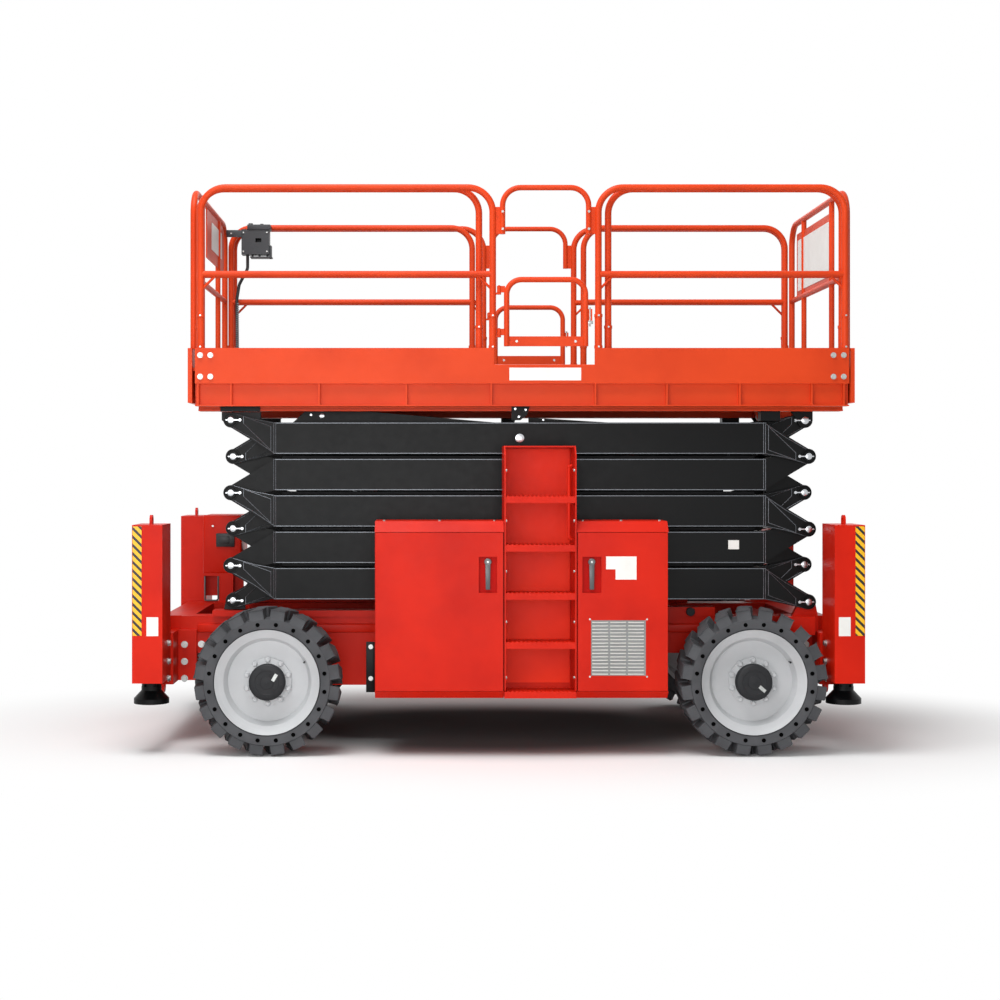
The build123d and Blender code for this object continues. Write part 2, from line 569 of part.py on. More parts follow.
def control_box():
    """Platform control station hung on the far rail."""
    body = side_slab([(-1739, 3215), (-1533, 3215), (-1533, 3360), (-1560, 3405), (-1712, 3405), (-1739, 3360)],
                     (700, 800))
    hook = block((-1700, -1570), (795, 811), (3240, 3380))
    knob = rod_z(-1636, 745, 14, (3400, 3436))
    return fuse([body, hook, knob])


def control_cable():
    """Cable from the control station down the corner post to the deck."""
    route = [(-1690, 750, 3214), (-1690, 752, 3120), (-1752, 775, 3010), (-1770, 780, 2900), (-1768, 782, 2700),
             (-1766, 782, 2500), (-1766, 782, ROLLOUT_TOP_Z + 1)]
    return bent_tube(route, 11, 60)


# ---------------------------------------------------------------- write every node
os.makedirs("parts", exist_ok=True)
ENDS = {"front": -1, "rear": 1}
SIDES = {"near": -1, "far": 1}
WHEEL_X = {"front": FRONT_AXLE_X, "rear": REAR_AXLE_X}

save(chassis_frame(), "chassis_frame")
save(front_axle(), "front_axle")
save(rear_axle(), "rear_axle")
save(tie_down_lugs(), "tie_down_lugs")
save(outrigger_boxes(), "outrigger_boxes")
save(Compound([ladder(-1), ladder(1)]), "boarding_ladders")
save(valve_cabinet(), "valve_cabinet")
save(block((-650, -90), (790, 1080), (350, 900)), "engine_block")
save(block((520, 950), (-1080, -790), (350, 900)), "hydraulic_tank")
for side_name, side in SIDES.items():
    save(cabinets(side), f"cabinets_{side_name}")
    save(knuckle(side), f"knuckle_{side_name}")
    save(gate(side), f"gate_{side_name}")
    for which in CABINET_X:
        save(door(which, side), f"door_{side_name}_{which}")
    for end_name, end in ENDS.items():
        save(outrigger_leg(end, side), f"outrigger_leg_{end_name}_{side_name}")
        save(tyre(WHEEL_X[end_name], side), f"tyre_{end_name}_{side_name}")
        save(rim(WHEEL_X[end_name], side), f"rim_{end_name}_{side_name}")
for level in range(1, LEVELS + 1):
    save(arm_pair("outer", level), f"outer_arms_{level}")
    save(arm_pair("inner", level), f"inner_arms_{level}")
save(slide_shoes(LEFT_PIN_X, BASE_PIN_Z, (-60, -57), (70, 45), INNER_ARM_Y), "lower_slide_shoes")
save(slide_shoes(LEFT_PIN_X, TOP_PIN_Z, (-60, -45), (180, 50), OUTER_ARM_Y), "upper_slide_shoes")
for name, level in (("lower", 2), ("upper", 4)):
    save(cylinder_barrel(level), f"{name}_cylinder_barrel")
    save(cylinder_rod(level), f"{name}_cylinder_rod")
save(main_deck(), "main_deck")
save(main_rails(), "main_rails")
save(rollout(-1876, -86, (-200, 700), (3080, 3400)), "rollout_deck_left")
save(rollout(2171, 661, (-445, 609), (2890, 3340)), "rollout_deck_right")
save(control_box(), "control_box")
save(control_cable(), "control_cable")
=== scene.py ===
import bpy
import bmesh
import json
import math
from mathutils import Matrix, Vector


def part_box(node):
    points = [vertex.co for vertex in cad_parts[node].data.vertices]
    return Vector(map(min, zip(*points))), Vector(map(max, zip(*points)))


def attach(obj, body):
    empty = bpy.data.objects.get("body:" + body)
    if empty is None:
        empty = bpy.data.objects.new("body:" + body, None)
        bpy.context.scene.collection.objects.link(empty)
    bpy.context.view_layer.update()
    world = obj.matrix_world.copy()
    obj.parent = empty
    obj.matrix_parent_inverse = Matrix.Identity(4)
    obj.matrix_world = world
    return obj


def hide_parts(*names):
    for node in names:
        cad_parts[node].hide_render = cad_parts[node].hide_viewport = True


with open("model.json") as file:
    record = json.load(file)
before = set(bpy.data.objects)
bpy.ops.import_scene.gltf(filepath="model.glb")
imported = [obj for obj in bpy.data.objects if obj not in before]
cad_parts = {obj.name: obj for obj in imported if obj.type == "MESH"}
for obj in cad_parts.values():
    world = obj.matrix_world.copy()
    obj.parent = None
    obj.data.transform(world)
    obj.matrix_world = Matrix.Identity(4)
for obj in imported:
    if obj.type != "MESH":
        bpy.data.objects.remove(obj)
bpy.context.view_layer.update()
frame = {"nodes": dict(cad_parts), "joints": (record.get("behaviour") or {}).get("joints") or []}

bl_info = {
    "name": "Scissor lift dressing",
    "version": (1, 0, 0),
    "blender": (4, 5, 0),
    "location": "View3D > Sidebar > Lift",
    "description": "Finishes and small parts for a rough-terrain scissor lift",
    "category": "Object",
}

MM = 0.001

# ------------------------------------------------------------------ places from the frame, in mm
NEAR, FAR = -1, 1
SIDES = {"near": NEAR, "far": FAR}
ENDS = {"front": -1, "rear": 1}


def box_mm(node):
    low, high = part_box(node)
    return low / MM, high / MM


def joint_mm(name):
    for joint in frame["joints"]:
        if joint["name"] == name:
            return Vector(joint["pos_m"]) / MM
    raise KeyError(name)


BASE_PIN = joint_mm("lift")
TOP_PIN = joint_mm("platform_pin")
LEFT_PIN_X = joint_mm("lower_shoe_pin").x
RIGHT_PIN_X = BASE_PIN.x
LEVELS = 5
PITCH = (TOP_PIN.z - BASE_PIN.z) / LEVELS
CENTRE_X = (LEFT_PIN_X + RIGHT_PIN_X) / 2
WHEEL_X = {"front": joint_mm("steer_near").x, "rear": joint_mm("wheel_rear_near_spin").x}
TYRE_LOW, TYRE_HIGH = box_mm("tyre_front_far")
WHEEL_R = (TYRE_HIGH.z - TYRE_LOW.z) / 2
AXLE_Z = TYRE_HIGH.z - WHEEL_R
TYRE_Y = (TYRE_LOW.y, TYRE_HIGH.y)
POST_HIGH = box_mm("outrigger_boxes")[1]
POST_IN_X = POST_HIGH.x - 180
DECK_LOW, DECK_HIGH = box_mm("main_deck")
FACE_Y = box_mm("cabinets_far")[1].y
TOE_Y = DECK_HIGH.y
RAIL_Y = 887  # posts of the main rails
NESTED_Y = 832  # posts of the roll-out rails, which slide inside the others
BEAMS = {"outer": (640, 750), "inner": (520, 630)}  # the two side faces of each beam
SEAM_RUN = 270  # from a pin to the seam between end casting and beam


# ------------------------------------------------------------------ colour and material helpers
def linear(hex_colour):
    """sRGB hex to the linear RGBA that a shader socket takes."""
    channels = [int(hex_colour[i:i + 2], 16) / 255 for i in (1, 3, 5)]
    spread = [c / 12.92 if c <= 0.04045 else ((c + 0.055) / 1.055) ** 2.4 for c in channels]
    return (*spread, 1.0)


def node(tree, kind, settings=None, links=None):
    """Adds one shader node, given its type's name without the prefix, sets it up and links its inputs."""
    new = tree.nodes.new("ShaderNode" + kind)
    for key, value in (settings or {}).items():
        if isinstance(key, str) and hasattr(new, key):
            setattr(new, key, value)
        else:
            new.inputs[key].default_value = value
    for key, source in (links or {}).items():
        tree.links.new(source, new.inputs[key])
    return new


def start_material(name):
    material = bpy.data.materials.new(name)
    material.use_nodes = True
    tree = material.node_tree
    tree.nodes.clear()
    coords = node(tree, "TexCoord").outputs["Object"]
    return material, tree, coords


def close_material(tree, shader):
    node(tree, "OutputMaterial", links={"Surface": shader})


def surface(name, colour, shade, roughness, noises, patch, swing, bump, body):
    """Clouded colour, uneven gloss and raised skin, each from a noise given as its size in mm and detail."""
    material, tree, coords = start_material(name)
    made = {noise: node(tree, "TexNoise", {"Scale": 1 / (noise[0] * MM), "Detail": noise[1]},
                        {"Vector": coords}).outputs["Fac"] for noise in dict.fromkeys(noises)}
    cloud, grain, peel = (made[noise] for noise in noises)
    share = node(tree, "MapRange", {"From Min": patch[0], "From Max": patch[1]}, {"Value": cloud})
    colours = node(tree, "Mix", {"data_type": "RGBA", 6: linear(shade), 7: linear(colour)},
                   {0: share.outputs["Result"]})
    gloss = node(tree, "MapRange", {"To Min": roughness - swing[0], "To Max": roughness + swing[1]},
                 {"Value": grain})
    skin = node(tree, "Bump", {"Strength": bump[0], "Distance": bump[1] * MM}, {"Height": peel})
    shader = node(tree, "BsdfPrincipled", body,
                  {"Base Color": colours.outputs[2], "Roughness": gloss.outputs["Result"],
                   "Normal": skin.outputs["Normal"]})
    close_material(tree, shader.outputs["BSDF"])
    return material


def painted_steel(name, colour, shade, roughness, peel_mm=6.0, level=0.25):
    """Sprayed enamel on steel: the eye sees one even colour, faint clouding and a soft orange peel."""
    return surface(name, colour, shade, roughness, ((420, 4.0), (45, 3.0), (peel_mm, 2.0)), (0.30, 0.62),
                   (0.06, 0.08), (0.35, 0.05), {"IOR": 1.5, "Specular IOR Level": level})


def bare_metal(name, colour, shade, roughness, grain_mm=3.0):
    """Turned, rolled or plated metal: the eye sees a bright body with a fine directionless grain."""
    return surface(name, colour, shade, roughness, ((grain_mm, 5.0),) * 3, (0.3, 0.7),
                   (0.07, 0.1), (0.3, 0.05), {"Metallic": 1.0})


def moulded(name, colour, shade, roughness, grain_mm=1.5, depth_mm=0.12):
    """Moulded rubber or plastic: the eye sees a matt, slightly bloomed skin with a fine tooth."""
    return surface(name, colour, shade, roughness, ((140, 4.0), (140, 4.0), (grain_mm, 3.0)), (0.3, 0.7),
                   (0.05, 0.07), (0.5, depth_mm), {"IOR": 1.48})


def hazard_vinyl(name, yellow, black, period_mm, share):
    """Self-adhesive vinyl: the eye sees slanting yellow and black bands with a semi-gloss skin."""
    material, tree, coords = start_material(name)
    parts = node(tree, "SeparateXYZ", links={"Vector": coords})
    lean = node(tree, "Math", {"operation": "ADD"}, {0: parts.outputs["X"], 1: parts.outputs["Y"]})
    height = node(tree, "Math", {"operation": "ADD"}, {0: parts.outputs["Z"], 1: lean.outputs[0]})
    phase = node(tree, "Math", {"operation": "DIVIDE", 1: period_mm * MM}, {0: height.outputs[0]})
    part = node(tree, "Math", {"operation": "FRACT"}, {0: phase.outputs[0]})
    band = node(tree, "Math", {"operation": "GREATER_THAN", 1: share}, {0: part.outputs[0]})
    scuff = node(tree, "TexNoise", {"Scale": 1 / (60 * MM), "Detail": 3.0}, {"Vector": coords})
    gloss = node(tree, "MapRange", {"To Min": 0.28, "To Max": 0.42},
                 {"Value": scuff.outputs["Fac"]})
    colours = node(tree, "Mix", {"data_type": "RGBA", 6: linear(yellow), 7: linear(black)},
                   {0: band.outputs[0]})
    shader = node(tree, "BsdfPrincipled", {"IOR": 1.46},
                  {"Base Color": colours.outputs[2], "Roughness": gloss.outputs["Result"]})
    close_material(tree, shader.outputs["BSDF"])
    return material


def tread_plate(name, colour, shade, pitch_mm=26):
    """Rolled floor plate: the eye sees short raised bars at right angles, worn bright on top."""
    material, tree, coords = start_material(name)
    turned = node(tree, "Mapping", {"Rotation": (0, 0, math.radians(45))}, {"Vector": coords})
    parts = node(tree, "SeparateXYZ", links={"Vector": turned.outputs["Vector"]})
    bars = []
    for along, across in (("X", "Y"), ("Y", "X")):
        turns = [node(tree, "Math", {"operation": "MULTIPLY", 1: math.pi / (pitch_mm * MM)},
                      {0: parts.outputs[axis]}) for axis in (along, across)]
        length = node(tree, "Math", {"operation": "SINE"}, {0: turns[0].outputs[0]})
        width = node(tree, "Math", {"operation": "COSINE"}, {0: turns[1].outputs[0]})
        both = node(tree, "Math", {"operation": "MULTIPLY"},
                    {0: length.outputs[0], 1: width.outputs[0]})
        bars.append(node(tree, "Math", {"operation": "ABSOLUTE"}, {0: both.outputs[0]}))
    top = node(tree, "Math", {"operation": "MAXIMUM"},
               {0: bars[0].outputs[0], 1: bars[1].outputs[0]})
    worn = node(tree, "MapRange", {"From Min": 0.5, "From Max": 0.9}, {"Value": top.outputs[0]})
    colours = node(tree, "Mix", {"data_type": "RGBA", 6: linear(shade), 7: linear(colour)},
                   {0: worn.outputs["Result"]})
    skin = node(tree, "Bump", {"Strength": 0.7, "Distance": 2 * MM},
                {"Height": worn.outputs["Result"]})
    shader = node(tree, "BsdfPrincipled", {"Metallic": 0.85, "Roughness": 0.42},
                  {"Base Color": colours.outputs[2], "Normal": skin.outputs["Normal"]})
    close_material(tree, shader.outputs["BSDF"])
    return material


MATERIALS = {}


def make_materials(look):
    """Every finish, named for what the real surface is."""
    hexes = {key: "#%02x%02x%02x" % tuple(round(255 * c) for c in getattr(look, key))
             for key in ("platform_colour", "chassis_colour", "arm_colour", "rim_colour")}
    MATERIALS.update({
        # warm orange-red, a little milky where the light grazes it
        "platform": painted_steel("Sprayed orange enamel", hexes["platform_colour"], "#cc3c15", 0.4,
                                  level=0.16),
        # deeper, more saturated red with a harder shine
        "chassis": painted_steel("Sprayed red enamel", hexes["chassis_colour"], "#be1806", 0.38, 6.0, 0.13),
        # painted light: a brighter orange-red than the frame, so the back of the ladder stays bright in the
        # shade of its recess
        "ladder": painted_steel("Red enamel brightened as painted light", "#fb3208", "#ee2806", 0.45, 6.0, 0.2),
        # near black with broad soft highlights on the edges
        "arms": painted_steel("Satin black enamel on welded steel", hexes["arm_colour"], "#08090a", 0.36,
                              9.0, 0.13),
        # pale silver paint, not bare metal, so it stays light in shade
        "rims": painted_steel("Silver wheel enamel", hexes["rim_colour"], "#b2b4b6", 0.42, 6.0, 0.3),
        # painted shade: the same red made deeper for the floor of the handle pocket, without sky on it
        "recess": painted_steel("Red enamel darkened as painted shade", "#b80b02", "#a80802", 0.5, 6.0, 0.1),
        # mid grey sheet, even and dull, that lets the bright blades stand out
        "sheet": painted_steel("Grey powder coat", "#8f9191", "#858786", 0.5, 5.0, 0.2),
        # glossy dark grey casting with a soft light along it
        "lever": painted_steel("Dark grey die casting", "#5c5d5f", "#4c4d4f", 0.3, 5.0, 0.5),
        # mirror-like bars that pick up the white room
        "pins": bare_metal("Hard-chromed turned steel", "#d4d6d8", "#a9adb2", 0.24),
        # dull bright bolts with a grainy plating
        "zinc": bare_metal("Zinc-plated fastener steel", "#c3c4c0", "#96999a", 0.34, 4.0),
        # rough sand-cast skin under thin black paint, no shine
        "cast": painted_steel("Painted sand casting, dull black", "#1d1e21", "#141518", 0.55, 4.0, 0.3),
        # dark grey and quite matt, a shade lighter where it blooms
        "tyre": moulded("Vulcanised tyre rubber", "#4b4c4f", "#3c3d40", 0.75, 3.0, 0.3),
        # the bottom of a moulded pocket, which no light reaches
        "pocket": painted_steel("Rubber pocket in its own shade", "#050505", "#030303", 0.9, 6.0, 0.02),
        # charcoal with a leathery tooth that kills reflections
        "plastic": moulded("Textured charcoal ABS", "#34363a", "#2a2c2f", 0.5),
        # small black mouldings with a faint gloss
        "black_plastic": moulded("Moulded black nylon", "#161618", "#0f0f11", 0.42),
        # cool pale grey sleeve, semi-matt
        "grey_hose": moulded("Grey PVC conduit", "#8f9398", "#7b7f85", 0.45),
        # clean off-white film lying flat on the paint
        "label": moulded("Blank white vinyl label", "#f1f0ec", "#e6e5e0", 0.4, 2.0, 0.02),
        # clean bright bands that keep their edge at a distance
        "stripes": hazard_vinyl("Hazard band vinyl", "#f2b90c", "#161616", 50, 0.58),
        # dull silver floor with rows of brighter worn bars
        "floor_plate": tread_plate("Tread plate aluminium", "#a8aaac", "#77797c"),
        # painted highlight: light grey for the weld beads, casting beads and edge strips on the black arms,
        # standing for edges that catch the light; the beads are real, their light colour is painted
        "weld": bare_metal("Light grey bead as painted highlight", "#7a7d82", "#505358", 0.42, 6.0),
    })


# ------------------------------------------------------------------ mesh helpers, all taking mm
def new_mesh():
    return bmesh.new()


def edges_of(verts):
    return list({edge for vert in verts for edge in vert.link_edges})


def round_edges(mesh, edges, offset, segments):
    bmesh.ops.bevel(mesh, geom=edges, offset=offset * MM, offset_type="OFFSET", segments=segments,
                    profile=0.5, affect="EDGES", material=-1, clamp_overlap=True)


def add_box(mesh, low, high, bevel=0.0, segments=2):
    """Box between two corners with rounded edges."""
    low, high = Vector(low), Vector(high)
    size = high - low
    matrix = Matrix.Translation((low + high) / 2 * MM) @ Matrix.Diagonal((*(size * MM), 1))
    made = bmesh.ops.create_cube(mesh, size=1.0, matrix=matrix)
    if bevel:
        round_edges(mesh, edges_of(made["verts"]), bevel, segments)


def add_block(mesh, xs, ys, zs, bevel=0.0, segments=2):
    """Box between a pair of x, of y and of z, each pair in either order."""
    low, high = zip(*(sorted(pair) for pair in (xs, ys, zs)))
    add_box(mesh, low, high, bevel, segments)


def out(side, near, far):
    """Pair of y at two distances from the middle of the machine, on one side of it."""
    return side * near, side * far


def round_axle(x, y, radius, count, start=0.0):
    """Evenly spaced points on a circle round a wheel's axle; the start is in degrees from straight up."""
    turns = [math.radians(start) + 2 * math.pi * number / count for number in range(count)]
    return [Vector((x + radius * math.sin(turn), y, AXLE_Z + radius * math.cos(turn))) for turn in turns]


def turn_to(axis):
    """Rotation that takes +Z to the axis."""
    return Vector((0, 0, 1)).rotation_difference(Vector(axis).normalized()).to_matrix().to_4x4()


def add_rod(mesh, start, end, radius, sides=20, end_radius=None):
    """Round bar or cone between two points."""
    start, end = Vector(start) * MM, Vector(end) * MM
    matrix = Matrix.Translation((start + end) / 2) @ turn_to(end - start)
    bmesh.ops.create_cone(mesh, cap_ends=True, cap_tris=False, segments=sides, radius1=radius * MM,
                          radius2=(radius if end_radius is None else end_radius) * MM,
                          depth=(end - start).length, matrix=matrix)


def add_bolt(mesh, seat, axis, across=18, washer=True):
    """Hexagon head on a round washer, standing on the seat point."""
    seat, axis = Vector(seat), Vector(axis).normalized()
    if washer:
        add_rod(mesh, seat - axis, seat + axis * across * 0.12, across * 0.72, 14)
    add_rod(mesh, seat, seat + axis * across * 0.55, across * 0.56, 6)


def add_lathe(mesh, profile, centre, axis, steps=48):
    """Closed (radius, along) profile spun round the axis through the centre."""
    axis = Vector(axis).normalized()
    side = axis.orthogonal().normalized()
    centre = Vector(centre)
    verts = [mesh.verts.new((centre + side * r + axis * a) * MM) for r, a in profile]
    edges = [mesh.edges.new((verts[i], verts[(i + 1) % len(verts)])) for i in range(len(verts))]
    bmesh.ops.spin(mesh, geom=verts + edges, cent=centre * MM, axis=axis, angle=2 * math.pi, steps=steps,
                   use_merge=True, use_duplicate=False)


def add_torus_bar(mesh, points, radius, sides=10):
    """Bent round bar through the points, with a ball at every corner."""
    for first, second in zip(points, points[1:]):
        add_rod(mesh, first, second, radius, sides)
    for point in points[1:-1]:
        bmesh.ops.create_uvsphere(mesh, u_segments=sides, v_segments=6, radius=radius * MM,
                                  matrix=Matrix.Translation(Vector(point) * MM))


def add_slab(mesh, outline, low_y, high_y):
    """Plate with the given (x, z) outline between two planes."""
    verts = [mesh.verts.new(Vector((x, low_y, z)) * MM) for x, z in outline]
    face = mesh.faces.new(verts)
    made = bmesh.ops.extrude_face_region(mesh, geom=[face])["geom"]
    moved = [item for item in made if isinstance(item, bmesh.types.BMVert)]
    bmesh.ops.translate(mesh, vec=Vector((0, high_y - low_y, 0)) * MM, verts=moved)


def arc(centre, radius, start, stop, steps=8):
    """Points of an arc in the (x, z) plane, angles in degrees from +x towards +z."""
    turns = [math.radians(start + (stop - start) * i / steps) for i in range(steps + 1)]
    return [(centre[0] + radius * math.cos(t), centre[1] + radius * math.sin(t)) for t in turns]


def finish_piece(name, mesh, body, material, smooth_deg=35):
    """Turns the bmesh into an object that rides on a body."""
    bmesh.ops.remove_doubles(mesh, verts=mesh.verts, dist=1e-6)
    bmesh.ops.recalc_face_normals(mesh, faces=mesh.faces)
    data = bpy.data.meshes.new(name)
    mesh.to_mesh(data)
    mesh.free()
    piece = bpy.data.objects.new(name, data)
    bpy.context.scene.collection.objects.link(piece)
    data.materials.append(MATERIALS[material])
    shade(piece, smooth_deg)
    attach(piece, body)
    return piece


def shade(piece, angle):
    """Smooth faces with sharp edges past the angle."""
    data = piece.data
    limit = math.radians(angle)
    work = bmesh.new()
    work.from_mesh(data)
    for face in work.faces:
        face.smooth = True
    for edge in work.edges:
        edge.smooth = len(edge.link_faces) == 2 and edge.calc_face_angle(0.0) < limit
    work.to_mesh(data)
    work.free()


# ------------------------------------------------------------------ settings
def size(label, about, default):
    return bpy.props.FloatProperty(name=label, description=about, default=default, min=0.0)


def colour(label, about, hex_value):
    value = [int(hex_value[i:i + 2], 16) / 255 for i in (1, 3, 5)]
    return bpy.props.FloatVectorProperty(name=label, description=about, default=value, size=3,
                                         min=0.0, max=1.0, subtype="COLOR_GAMMA")


class LiftLook(bpy.types.PropertyGroup):
    """Colours and light of the machine."""
    platform_colour: colour("Platform colour", "Enamel on the deck and rails", "#d9441a")
    chassis_colour: colour("Chassis colour", "Enamel on the frame, cabinets and outriggers", "#d12008")
    arm_colour: colour("Arm colour", "Enamel on the scissor arms", "#0c0d0e")
    rim_colour: colour("Rim colour", "Enamel on the wheel rims", "#c2c4c6")
    key_power: size("Key light", "Power of the large overhead light in watts", 700.0)
    fill_power: size("Fill light", "Power of the light that faces the near side, in watts", 240.0)
    front_power: size("Front light", "Power of the small light beside the camera, in watts", 110.0)
    back_power: size("Back light", "Power of the light behind the machine in watts", 60.0)
    sky_strength: size("Sky strength", "Strength of the white surroundings as light", 0.30)


class LiftSizes(bpy.types.PropertyGroup):
    """Sizes of the small parts, in millimetres."""
    lug_height: size("Lug height", "Height of the tyre lugs", 62.0)
    lug_width: size("Lug width", "Width of a tyre lug's tip", 84.0)
    lugs_per_side: bpy.props.IntProperty(name="Lugs", description="Lugs round each shoulder", default=20,
                                         min=4)
    bolt_across: size("Bolt size", "Width across flats of the structural bolts", 30.0)
    stripe_width: size("Stripe width", "Width of the hazard panel", 57.0)
    sleeve_radius: size("Sleeve radius", "Radius of the folding sleeves on the rail posts", 25.5)


def look():
    return bpy.context.scene.lift_look


def sizes():
    return bpy.context.scene.lift_sizes


class LiftOperator:
    """What every operator here shares."""
    bl_options = {"REGISTER", "UNDO"}

    def execute(self, context):
        self.build()
        return {"FINISHED"}


# ------------------------------------------------------------------ stage
class LIFT_OT_stage(LiftOperator, bpy.types.Operator):
    """Camera, lights, white surroundings and floor"""
    bl_idname = "lift.stage"
    bl_label = "Stage"

    def build(self):
        scene = bpy.context.scene
        scene.view_settings.view_transform = "Standard"
        data = bpy.data.cameras.new("Camera")
        data.sensor_width = 36.0
        data.lens = 61.1
        data.shift_x = 0.070
        data.shift_y = -0.030
        data.clip_end = 300.0
        camera = bpy.data.objects.new("Camera", data)
        camera.location = (-0.406, -11.2, 1.702)
        camera.rotation_euler = (math.radians(90), 0, 0)
        scene.collection.objects.link(camera)
        scene.camera = camera
        self.lights(scene)
        self.surroundings(scene)
        self.floor(scene)

    def lights(self, scene):
        # lamp: name, place, aim, width, power
        table = (("Key", (-2.0, -3.5, 9.5), (0, 0, 0.6), 5.0, look().key_power),
                 ("Fill", (-2.8, -9.0, 2.6), (0, 0, 1.2), 4.5, look().fill_power),
                 ("Front", (0.4, -10.4, 1.5), (0.2, 0, 1.1), 2.5, look().front_power),
                 ("Back", (2.0, 7.0, 6.5), (0, 0, 1.6), 4.0, look().back_power))
        for name, place, aim, width, power in table:
            data = bpy.data.lights.new(name, "AREA")
            data.shape = "SQUARE"
            data.size = width
            data.energy = power
            lamp = bpy.data.objects.new(name, data)
            lamp.location = place
            lamp.rotation_euler = (Vector(aim) - Vector(place)).to_track_quat("-Z", "Y").to_euler()
            scene.collection.objects.link(lamp)

    def surroundings(self, scene):
        world = bpy.data.worlds.new("Surroundings")
        scene.world = world
        world.use_nodes = True
        tree = world.node_tree
        tree.nodes.clear()
        shown = self.shown_white(tree)
        strength = node(tree, "MapRange", {"To Min": look().sky_strength, "To Max": 1.0},
                        {"Value": shown}).outputs["Result"]
        background = node(tree, "Background", {"Color": (1, 1, 1, 1)}, {"Strength": strength})
        node(tree, "OutputWorld", links={"Surface": background.outputs["Background"]})

    def shown_white(self, tree):
        """1 for rays that show the surroundings: from the camera, in reflections, through glass."""
        path = node(tree, "LightPath")
        first = node(tree, "Math", {"operation": "MAXIMUM"},
                     {0: path.outputs["Is Camera Ray"], 1: path.outputs["Is Glossy Ray"]}).outputs[0]
        return node(tree, "Math", {"operation": "MAXIMUM"},
                    {0: first, 1: path.outputs["Is Transmission Ray"]}).outputs[0]

    def floor(self, scene):
        mesh = new_mesh()
        bmesh.ops.create_grid(mesh, x_segments=1, y_segments=1, size=60.0)
        data = bpy.data.meshes.new("Floor")
        mesh.to_mesh(data)
        mesh.free()
        ground = bpy.data.objects.new("Floor", data)
        scene.collection.objects.link(ground)
        material, tree, coords = start_material("White studio floor")
        glow = node(tree, "Emission", {"Color": (1, 1, 1, 1), "Strength": 1.0}).outputs["Emission"]
        # painted shadow: the matt floor is coloured a cool dark grey under the machine, where its cast shadow
        # falls, and turns white round it; clear white a few metres out
        pulled = node(tree, "Mapping", {"Scale": (0.62, 1.0, 1.0)}, {"Vector": coords})
        reach = node(tree, "VectorMath", {"operation": "LENGTH"}, {0: pulled.outputs["Vector"]})
        near, fade = (node(tree, "MapRange",
                           {"interpolation_type": "SMOOTHSTEP", "From Min": first, "From Max": last},
                           {"Value": reach.outputs["Value"]}).outputs["Result"]
                      for first, last in ((0.7, 1.4), (1.3, 2.8)))
        # painted shadow: dark grey, tinted cool against the red bounce, under the machine; near white further
        # out
        painted_shadow_tone = node(tree, "Mix",
                    {"data_type": "RGBA", 6: (0.17, 0.18, 0.18, 1), 7: (0.93, 0.93, 0.93, 1)}, {0: near})
        matt = node(tree, "BsdfDiffuse", links={"Color": painted_shadow_tone.outputs[2]}).outputs["BSDF"]
        share = node(tree, "Math", {"operation": "MULTIPLY"}, {0: fade, 1: self.shown_white(tree)})
        mixed = node(tree, "MixShader", links={0: share.outputs[0], 1: matt, 2: glow})
        close_material(tree, mixed.outputs["Shader"])
        data.materials.append(material)


# ------------------------------------------------------------------ finishes of the CAD nodes
FINISHES = (("tyre", "tyre"), ("rim", "rims"), ("outer_arms", "arms"), ("inner_arms", "arms"),
            ("outrigger_leg", "arms"), ("main_", "platform"), ("rollout", "platform"), ("gate", "platform"),
            ("control_box", "plastic"), ("control_cable", "black_plastic"), ("engine_block", "cast"),
            ("front_axle", "cast"), ("rear_axle", "cast"), ("knuckle", "cast"))


def finish_for(name):
    """Key of the finish for a CAD node, from how its name ends or starts."""
    if name.endswith("_barrel"):
        return "arms"
    if name.endswith("_rod"):
        return "pins"
    return next((key for start, key in FINISHES if name.startswith(start)), "chassis")


class LIFT_OT_finishes(LiftOperator, bpy.types.Operator):
    """Gives every CAD node its finish"""
    bl_idname = "lift.finishes"
    bl_label = "Finishes"

    def build(self):
        make_materials(look())
        for name, obj in frame["nodes"].items():
            obj.data.materials.clear()
            obj.data.materials.append(MATERIALS[finish_for(name)])


# ------------------------------------------------------------------ wheels
HOLE_RING, HOLE_COUNT, HOLE_R = 346, 20, 12.5  # round pockets in the tyre's side wall
HOLE_START = 180 / HOLE_COUNT
RIM_DISC = 214  # from the tyre's inner face to the middle of the wheel disc


